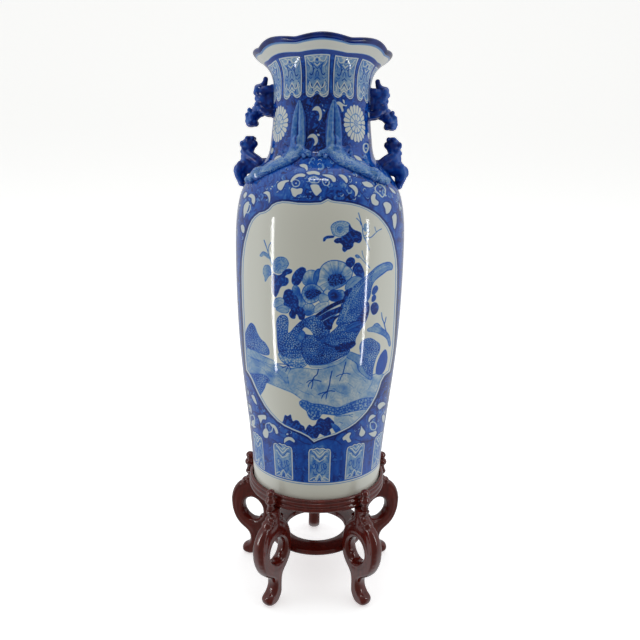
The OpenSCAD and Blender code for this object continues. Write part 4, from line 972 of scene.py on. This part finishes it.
def lion_upper():
    """Guardian lion hanging head down from the neck, pointing to +X, in mm."""
    bm = bmesh.new()
    for y in (-1, 1):
        tube(bm, [(65, 5 * y, 708), (74, 6.5 * y, 708.5), (82, 6.5 * y, 705)], [5.4, 6.2, 6.6])       # hind legs to the neck
        tube(bm, [(65, 5 * y, 680), (74, 6.5 * y, 679), (83, 6.5 * y, 683)], [5.2, 5.8, 6.2])          # fore legs
        lump(bm, (67, 6 * y, 675.5), (4.6, 4.8, 4))
        lump(bm, (67, 5.4 * y, 712.5), (4.6, 4.6, 4))
        lump(bm, (86.5, 6.2 * y, 706.5), (7.4, 5.8, 9))                                               # haunches
        lump(bm, (86, 5.8 * y, 687.5), (7.4, 5.8, 7.4))                                               # shoulders
        lump(bm, (99.5, 7.4 * y, 681), (3.4, 3, 4))                                                   # ears
        lump(bm, (103, 5.2 * y, 675), (3.6, 3.4, 3.4))                                                # brows
        lump(bm, (96, 8.2 * y, 671.5), (4, 3.4, 5))                                                   # mane curls
        lump(bm, (91.5, 8 * y, 677), (4.2, 3.4, 4.2))
        lump(bm, (98.4, 5.2 * y, 663.2), (4.8, 4.2, 4.2))                                             # jowls
        lump(bm, (92, 4.6 * y, 664.5), (4, 3.8, 4))
    tube(bm, [(70, 0, 705), (71, 0, 694), (70, 0, 683)], [7.4, 8.6, 7.4])                             # chest against the neck
    tube(bm, [(84, 0, 708), (81, 0, 698), (80.5, 0, 688), (85, 0, 681)], [9.6, 9.8, 10, 9])           # back
    tube(bm, [(89, 0, 712), (83, 0, 714.5), (79.6, 0, 718), (78, 0, 723)], [5.8, 4.8, 4.4, 3.4])      # tail
    lump(bm, (78, 0, 724), (3.8, 3.8, 4))
    tube(bm, [(86, 0, 684), (91, 0, 678.5), (97, 0, 673.4)], [8.8, 8.8, 9.4])                         # neck
    lump(bm, (98, 0, 671.6), (9.2, 9.4, 9))                                                           # head
    lump(bm, (99.4, 0, 663.6), (7, 7, 5.2))                                                           # muzzle
    lump(bm, (92.6, 0, 663.6), (5.2, 5.6, 4.6))                                                       # jaw
    lump(bm, (105, 0, 667), (2.8, 3.4, 2.8))                                                          # nose
    for i, (x, z) in enumerate(((93.2, 706), (91.4, 698), (90.8, 690.5), (94.8, 684.6))):
        lump(bm, (x, 0, z), (2.8, 3.2, 3.6))
    return bm


def lion_lower():
    """Guardian lion climbing on the shoulder with its head up, pointing to +X, in mm."""
    bm = bmesh.new()
    lump(bm, (102.4, 0, 634), (10.6, 9.8, 11))                                                        # head
    lump(bm, (100.4, 0, 642.4), (7.4, 7.6, 4.8))                                                      # brow, facing up
    lump(bm, (93.6, 0, 636), (4.8, 6, 5.2))                                                           # muzzle to the neck
    for y in (-1, 1):
        lump(bm, (102.5, 7 * y, 642.6), (4, 3.4, 3.8))
        lump(bm, (110.4, 6.2 * y, 635), (3.8, 3.6, 5))
        lump(bm, (107, 8 * y, 628), (4.6, 3.6, 4.6))
        lump(bm, (95.5, 5 * y, 643.4), (3.8, 3.4, 3.2))
        tube(bm, [(102, 5.4 * y, 621), (93, 6.8 * y, 616), (84, 6.4 * y, 610), (74, 5.4 * y, 611)], [6.6, 6.2, 6, 5.4])   # fore legs
        lump(bm, (76, 6 * y, 610.5), (5.8, 5, 4.2))
        lump(bm, (111, 6 * y, 604), (8.4, 6, 8.6))                                                    # haunches
        tube(bm, [(113, 6.4 * y, 602), (116.6, 6.6 * y, 594), (114.2, 5.8 * y, 586), (112, 5.2 * y, 581)], [6.4, 5.4, 4.6, 4.4])
        lump(bm, (111.6, 5.6 * y, 579.6), (4.8, 4.4, 4))
    tube(bm, [(103.5, 0, 630), (103, 0, 620), (103, 0, 611), (107, 0, 603)], [9.2, 8.8, 9.6, 9.8])    # body
    tube(bm, [(80, 0, 604), (92, 0, 604), (106, 0, 602)], [8, 8.6, 9])                                # belly on the shoulder
    lump(bm, (110, 0, 590), (5, 7, 10))
    tube(bm, [(111, 0, 605), (118.6, 0, 602.6), (121, 0, 597)], [6, 5, 4])                            # tail
    lump(bm, (119.6, 0, 595), (4, 3.8, 4))
    for x, z in ((112, 625), (111.4, 618), (112.8, 611)):
        lump(bm, (x, 0, z), (2.8, 3.2, 3.6))
    return bm


TURNED = Matrix.Rotation(math.radians(TURN), 4, "Z")
MIRROR = Matrix.Diagonal((-1, 1, 1, 1))


def ink_animal_painted_shade(o, centre_r, low=0.58, high=0.94):
    """Ink for a lion with painted shade: darker on faces turned toward the vase and on parts close to it, lighter on
    faces turned outward; random tone on top.
    """
    c, n = coords(o) / MM, normals(o)
    r = np.hypot(c[:, 0], c[:, 1])
    out = (c[:, 0] * n[:, 0] + c[:, 1] * n[:, 1]) / np.maximum(r, 1)
    w = noise2(c[:, 2] * 0.3, c[:, 0] * 0.3 + c[:, 1] * 0.3, 7)
    d = r - centre_r
    # painted shade: faces turned to the vase and parts near it get more ink, outward faces less
    v = 0.79 - 0.09 * np.clip(out, -1, 1) - 0.004 * np.clip(d, -14, 14) + 0.20 * (w - 0.5)
    set_ink(o, np.clip(v, low, high))


for kind, build, cr in (("upper", lion_upper, 88), ("lower", lion_lower, 102)):
    for side in ("right", "left"):
        o = sculpt(f"lion_{kind}_{side}", build(), 0.9, 11, place=Matrix.Translation((-0.0018, 0, {"upper_right": -0.0050, "lower_right": -0.0018}.get(f"{kind}_{side}", 0))) @ TURNED @ (MIRROR if side == "left" else Matrix.Identity(4)))
        if side == "left":
            o.data.flip_normals()
        ink_animal_painted_shade(o, cr)
        finish_piece(o, "vase", [f"lion_{kind}_{side}"], M_COBALT)


def on_vase(th, z, lift=0.0):
    """Point on the vase surface at angle th (degrees) from the front, in the untuned frame, mm."""
    r = float(radius_at(z)) + lift
    a = math.radians(th)
    return (r * math.sin(a), -r * math.cos(a), z)


def surf_normal(p):
    r = math.hypot(p[0], p[1])
    dz = 1.0
    slope = (float(radius_at(p[2] + dz)) - float(radius_at(p[2] - dz))) / (2 * dz)
    n = Vector((p[0] / r, p[1] / r, -slope))
    return n.normalized()


def dragon():
    """Applied young dragon, the right-hand one of the front pair, in mm, before the vase's turn."""
    bm = bmesh.new()
    S = on_vase

    def band(pts, radii, flat=0.75, lift=1.2):
        tube(bm, [S(a, z, lift) for a, z in pts], radii, seg=14, flat=flat, normal=surf_normal)
    # tail: two strands side by side with a groove, closing to a point
    band([(14.2, 622), (14.0, 636), (14.4, 652), (15.8, 666), (18.4, 682)], [4.6, 5.4, 5.6, 4.8, 1.8], flat=0.62)
    band([(23.2, 620), (23.6, 636), (23.2, 652), (22.0, 666), (19.4, 682)], [4.4, 5.2, 5.4, 4.8, 1.8], flat=0.62)
    # hips and body down the shoulder
    band([(19, 632), (19.4, 617), (24, 608.5), (31.5, 601.5), (40, 595), (48, 589)], [7.4, 10.6, 12.2, 12.0, 11.2, 10.2], flat=0.5, lift=0.6)
    band([(13.5, 621), (18, 611.5), (26, 603), (35, 595.5), (44, 588.5)], [3.4, 3.6, 3.6, 3.4, 3.0], flat=0.8, lift=3.0)
    # feet
    band([(17, 622), (11, 617), (6.2, 615)], [6.0, 5.6, 4.6], flat=0.6); band([(8.4, 617.5), (4.4, 612.0)], [3.8, 3.0], flat=0.7); band([(11.4, 616), (9.6, 610.0)], [3.6, 2.8], flat=0.7)
    band([(22, 621), (29, 621), (34.5, 624.5)], [5.8, 5.2, 4.4], flat=0.6); band([(32, 624), (36.4, 619), (35, 614.6)], [3.8, 3.2, 2.4], flat=0.7); band([(29, 621), (31.6, 614.6)], [3.4, 2.4], flat=0.7)
    # head with brow, snout, scroll eyes and horns
    band([(47, 590), (53, 586.5), (59, 582.5)], [9.4, 9.4, 6.0], flat=0.62, lift=1.6)
    for a, z, k in ((49.4, 594.6, 3.6), (53.6, 590.4, 3.4), (50.0, 582.4, 3.4), (55.4, 581.2, 3.0), (59.5, 583, 2.8)):
        lump(bm, S(a, z, 5.0), k)
    band([(45.5, 596.5), (42, 602), (38, 606)], [3.2, 2.8, 1.6], lift=3.8)
    band([(43.2, 587.6), (39, 591.2), (35, 595.4)], [2.8, 2.4, 1.4], lift=4.4)
    band([(38, 603.5), (43.2, 605), (48, 601)], [3.6, 3.2, 2.2], lift=1.6)
    return bm


def spin_of(o):
    return math.radians(TURN + (180 if "_back_" in o.name else 0))


def ink_dragon_painted_shade(o):
    c, n = coords(o) / MM, normals(o)
    r = np.hypot(c[:, 0], c[:, 1])
    h = r - radius_at(c[:, 2])
    ang = np.degrees(np.arctan2(c[:, 0], -c[:, 1]))
    w = noise2(c[:, 2] * 0.35, ang * 0.5, 9)
    fine = noise2(c[:, 2] * 1.1, ang * 1.6, 12)
    local = np.abs((ang - math.degrees(spin_of(o)) + 180) % 360 - 180)
    mid = np.interp(c[:, 2], [612, 636, 652, 666, 682], [18.4, 18.8, 18.9, 19.0, 19.0])
    half = np.interp(c[:, 2], [612, 640, 660, 672, 682], [9.2, 8.8, 7.6, 5.4, 2.0])
    u = (local - mid) / half
    tail = np.clip((c[:, 2] - 618) / 12, 0, 1)
    pale = 0.40 + 0.13 * (u > 0) + 0.34 * np.exp(-((u - 0.02) / 0.11) ** 2) + 0.40 * np.clip((np.abs(u) - 0.80) / 0.2, 0, 1)
    pale = pale + 0.14 * np.exp(-((np.abs(u + 0.5) - 0.1) / 0.07) ** 2)
    curl = noise2(c[:, 2] * 0.55 + 3 * w, local * 0.30 + 3 * fine, 21)
    # wrinkle lines from the curl noise; painted shade: more ink where the body meets the vase surface, less the higher
    # it stands off it
    body = 0.76 - 0.050 * np.clip(h, 0, 6) + 0.26 * np.clip((0.07 - np.abs(curl - 0.5)) / 0.05, 0, 1) - 0.16 * np.clip((curl - 0.62) / 0.1, 0, 1)
    body = body + 0.20 * np.clip((1.6 - h) / 1.6, 0, 1)
    v = body * (1 - tail) + pale * tail + 0.16 * (w - 0.5) + 0.06 * (fine - 0.5)
    set_ink(o, np.clip(v, 0.3, 0.9))


for place, spin in (("front", 0), ("back", 180)):
    for side in ("right", "left"):
        m = TURNED @ Matrix.Rotation(math.radians(spin), 4, "Z") @ (MIRROR if side == "left" else Matrix.Identity(4))
        o = sculpt(f"dragon_{place}_{side}", dragon(), 0.85, 5, place=m)
        if side == "left":
            o.data.flip_normals()
        ink_dragon_painted_shade(o)
        finish_piece(o, "vase", [f"dragon_{place}_{side}"], M_WASH)


# ---------------------------------------------------------------- the stand
def lathe(name, prof, seg=192):
    th = np.linspace(0, 2 * math.pi, seg + 1)[:-1]
    prof = np.array(prof)
    P = np.stack([prof[:, 0][:, None] * np.sin(th), -prof[:, 0][:, None] * np.cos(th), prof[:, 1][:, None] * np.ones_like(th)], -1) * MM
    return grid_mesh(name, P, wrap=True)


def bead(r, z, a, b, t0, t1, k=10):
    return [(r + a * math.cos(math.radians(t)), z + b * math.sin(math.radians(t))) for t in np.linspace(t0, t1, k)]


ring_prof = ([(82, 139.1), (96.5, 139.0), (98.4, 139.3)] + bead(98.2, 142.6, 2.6, 3.2, -78, 70) + bead(98.0, 149.6, 2.5, 3.0, -66, 66)
             + bead(97.3, 155.2, 2.6, 2.1, -70, 90) + [(96.6, 157.2), (95.9, 156.6), (95.7, 155.0), (95.7, 149.05), (90.1, 149.05), (90.1, 144.05), (82, 144.05), (82, 139.1)])
ring = lathe("stand_ring_visual", ring_prof)
finish_piece(ring, "stand", ["stand_ring"], M_WOOD)

st_prof = [(44.6, 61.4), (45.6, 60.2), (47, 60.0), (69.6, 60.0), (71.2, 60.5), (72.0, 61.8), (72.0, 65.6), (71.2, 67.0), (69.6, 67.5), (47, 67.5), (45.4, 67.2), (44.6, 65.8), (44.6, 61.4)]
st = lathe("stretcher_ring_visual", st_prof)
finish_piece(st, "stand", ["stretcher_ring"], M_WOOD)

for n in ("seat_board", "leg_dowels"):
    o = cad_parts[n]
    o.data.materials.clear(); o.data.materials.append(M_WOOD2 if n == "seat_board" else M_DOWEL)

LEG = [(92, 139), (92.4, 131), (92.2, 124), (89, 119.4), (82.5, 114.6), (76.4, 106), (72.6, 94), (70.6, 80), (70.8, 68), (74.4, 56.6), (81.4, 47.6), (88, 41.6), (91, 35.4), (91.6, 27), (91.4, 19),
       (92, 12.6), (95, 7), (99.4, 2.2), (104, 0.0), (111.6, 0.0), (117.2, 2), (120.2, 6.2), (119.8, 11.2), (116, 15), (110.8, 18), (107.4, 22.8), (106.6, 29), (108.6, 36), (114, 41.4), (122.6, 47.6),
       (130.4, 56.4), (136, 68.4), (138.6, 82), (138.2, 95.6), (134, 107.4), (127, 116.2), (119, 120.2), (112.6, 121.8), (109.6, 125), (109.6, 129), (111.6, 132), (114.6, 134.4), (115.4, 136.6), (115.2, 139)]
HOLE = [(101.2 + 16.2 * math.cos(t) + 0.10 * 17.4 * math.sin(t), 77.2 + 17.4 * math.sin(t)) for t in np.linspace(0, 2 * math.pi, 29)[:-1]]


def leg_mesh(name):
    """Carved leg standing at the front (towards -Y), in mm."""
    out = ease(LEG[1:-1], False, 4)
    out = np.vstack([[LEG[0]], out, [LEG[-1]]])
    hole = ease(HOLE, True, 3)
    step = 2.0
    xs, ys = np.arange(68, 142, step), np.arange(0.6, 139, step)
    gx, gy = [a.ravel() for a in np.meshgrid(xs, ys)]
    gx = gx + 0.31 * np.sin(gy * 1.7)
    ins = inside(out, gx, gy) & ~inside(hole, gx, gy)
    d = np.minimum(edge_distance(out, gx, gy), edge_distance(hole, gx, gy))
    k = ins & (d > 0.75)
    pts = [tuple(p) for p in out] + [tuple(p) for p in hole] + list(zip(gx[k], gy[k]))
    n, h = len(out), len(hole)
    edges = [(i, (i + 1) % n) for i in range(n)] + [(n + i, n + (i + 1) % h) for i in range(h)]
    vs, _, fs, *_ = delaunay_2d_cdt([Vector(p) for p in pts], edges, [], 0, 1e-5)
    v2 = np.array([(v.x, v.y) for v in vs])
    cen = np.array([v2[list(f)].mean(0) for f in fs])
    ok = inside(out, cen[:, 0], cen[:, 1]) & ~inside(hole, cen[:, 0], cen[:, 1])
    fs = [f for f, o in zip(fs, ok) if o]
    # distance to the free edge, flat at the top where the leg meets the ring
    free = np.vstack([out, ])
    dd = np.minimum(edge_distance(free, v2[:, 0], v2[:, 1], closed=False), edge_distance(hole, v2[:, 0], v2[:, 1]))
    H = 6.8 + 3.0 * np.clip((124 - v2[:, 1]) / 34, 0, 1)
    half = 3.0 + (H - 3.0) * np.sqrt(np.clip(1 - (1 - np.clip(dd / 6.2, 0, 1)) ** 2, 0, 1))
    # a shallow carved channel along the middle of the broad parts
    groove = 0.7 * np.exp(-((dd - 7.2) / 1.4) ** 2) * (v2[:, 1] < 118)
    half = half - groove
    bm = bmesh.new()
    used = sorted({i for f in fs for i in f})
    a, b = {}, {}
    for i in used:
        a[i] = bm.verts.new((half[i], -v2[i, 0], v2[i, 1])); b[i] = bm.verts.new((-half[i], -v2[i, 0], v2[i, 1]))
    count = {}
    for f in fs:
        bm.faces.new([a[i] for i in f]); bm.faces.new([b[i] for i in f][::-1])
        for p, q in zip(f, list(f[1:]) + [f[0]]):
            count[(p, q)] = count.get((p, q), 0) + 1
    for (p, q) in count:
        if (q, p) not in count:
            bm.faces.new((a[q], a[p], b[p], b[q]))
    # carved bumps where the scroll meets the neck, a scroll bud inside the loop
    for x, z, r in ((110.5, 124.6, 5.2), (116.5, 119.6, 5.8), (88.2, 121.6, 4.2), (115.2, 9.4, 5.2)):
        lump(bm, (0, -x, z), (min(r * 1.5, 8.2), r, r))
    lump(bm, (0, -86.2, 91.4), (8, 5.4, 5.6)); lump(bm, (0, -87.6, 62.6), (7.6, 4.6, 4.8))
    return bm


for part, ang in (("front_left", -36), ("front_right", 36), ("side_left", -108), ("side_right", 108), ("back", 180)):
    m = Matrix.Rotation(math.radians(ang), 4, "Z")
    o = sculpt(f"leg_{part}_carved", leg_mesh(part), 1.15, 7, place=m)
    c = coords(o)
    c[:, 2] = np.maximum(c[:, 2], 0.0)
    o.data.vertices.foreach_set("co", c.astype(np.float32).ravel())
    o.data.update()
    finish_piece(o, "stand", [f"leg_{part}"], M_WOOD)
    bm = bmesh.new()
    p = Matrix.Rotation(math.radians(ang), 4, "Z") @ Vector((0, -109.0, 0))
    q = [(0, 138.6), (5.0, 138.8), (5.4, 140.4), (4.5, 142.4), (4.4, 144.4)] + bead(0, 151.6, 7.7, 6.4, -52, 52, 11) + [(4.9, 157.7)] + bead(0, 162.4, 6.2, 5.2, -50, 72, 10) + [(0.0, 167.8)]
    th = np.linspace(0, 2 * math.pi, 33)[:-1]
    q = np.array(q)
    P = np.stack([q[:, 0][:, None] * np.sin(th) + p.x, -q[:, 0][:, None] * np.cos(th) + p.y, q[:, 1][:, None] * np.ones_like(th)], -1) * MM
    k = grid_mesh(f"knob_{part}_turned", P, wrap=True)
    bm = bmesh.new(); bm.from_mesh(k.data); bmesh.ops.remove_doubles(bm, verts=bm.verts, dist=1e-6); bmesh.ops.recalc_face_normals(bm, faces=bm.faces); bm.to_mesh(k.data); bm.free()
    finish_piece(k, "stand", [f"knob_{part}"], M_WOOD)

# ---------------------------------------------------------------- floor, light, camera
sweep = [(-5.0, 0.0), (1.1, 0.0)] + [(1.1 + 1.0 * math.sin(t), 1.0 - 1.0 * math.cos(t)) for t in np.linspace(0.05, math.pi / 2, 24)] + [(2.1, 5.0)]
P = np.array([[(x, y, z - 0.0002) for x in (-5.0, 5.0)] for y, z in sweep])
floor = grid_mesh("floor", P)
mf, _, nf, lf, bf = new_mat("floor_pale")
bf.inputs["Base Color"].default_value = (0.90, 0.90, 0.90, 1); bf.inputs["Roughness"].default_value = 0.8; bf.inputs["Specular IOR Level"].default_value = 0.05
bf.inputs["Emission Color"].default_value = (1, 1, 1, 1); bf.inputs["Emission Strength"].default_value = 0.55
floor.data.materials.append(mf)
floor.visible_glossy = False
floor.visible_diffuse = False

world = bpy.data.worlds.new("studio"); SCENE.world = world; world.use_nodes = True
wn, wl = world.node_tree.nodes, world.node_tree.links
bg = wn["Background"]
bg.inputs["Strength"].default_value = 1.0
wtc = wn.new("ShaderNodeTexCoord"); sep = wn.new("ShaderNodeSeparateXYZ")
wl.new(wtc.outputs["Generated"], sep.inputs[0])
wr = ramp(wn, [(0.0, (0.27, 0.26, 0.235)), (0.18, (0.34, 0.335, 0.315)), (0.38, (0.98, 1.02, 1.03)), (0.50, (1.18, 1.22, 1.24)), (0.64, (0.80, 0.82, 0.83)), (1.0, (0.55, 0.55, 0.56))])
mp = wn.new("ShaderNodeMapRange"); mp.inputs["From Min"].default_value = -1; mp.inputs["From Max"].default_value = 1
wl.new(sep.outputs["Y"], mp.inputs["Value"]); wl.new(mp.outputs["Result"], wr.inputs["Fac"]); wl.new(wr.outputs["Color"], bg.inputs["Color"])


def light(name, loc, target, size, energy, color=(1, 1, 1)):
    d = bpy.data.lights.new(name, "AREA"); d.shape = "RECTANGLE"; d.size, d.size_y = size; d.energy = energy; d.color = color
    o = bpy.data.objects.new(name, d); SCENE.collection.objects.link(o)
    o.location = loc
    o.rotation_mode = "QUATERNION"
    o.rotation_quaternion = (Vector(target) - Vector(loc)).to_track_quat("-Z", "Y")
    o.visible_camera = False
    return o


for o in (light("strip_left", (-0.513, -0.300, 0.35), (0, -0.06, 0.35), (0.036, 0.50), 1.25),
          light("strip_right", (0.505, -0.330, 0.36), (0, -0.06, 0.36), (0.026, 0.48), 0.95),
          light("bar_top", (-0.06, -0.52, 1.35), (0, -0.08, 0.58), (0.34, 0.05), 1.0)):
    o.visible_diffuse = False
light("top", (0.1, 0.2, 2.2), (0, 0, 0.3), (1.4, 1.4), 3.5)

cam_data = bpy.data.cameras.new("camera"); cam = bpy.data.objects.new("camera", cam_data); SCENE.collection.objects.link(cam); SCENE.camera = cam
ROUND = Matrix.Rotation(math.radians(VIEW), 3, "Z")
cam.location = ROUND @ Vector((EYE[0] * MM, EYE[1] * MM, EYE[2] * MM))
cam.rotation_mode = "QUATERNION"
cam.rotation_quaternion = (ROUND @ Matrix.Rotation(math.pi / 2 + PITCH, 3, "X") @ Matrix.Rotation(ROLL, 3, "Z")).to_quaternion()
cam_data.sensor_width = 36
cam_data.lens = FOCAL / 640 * 36
cam_data.shift_x, cam_data.shift_y = 0.0, (CY - 320) / 640
cam_data.clip_start, cam_data.clip_end = 0.01, 50

SCENE.view_settings.view_transform = "Standard"
SCENE.view_settings.look = "None"
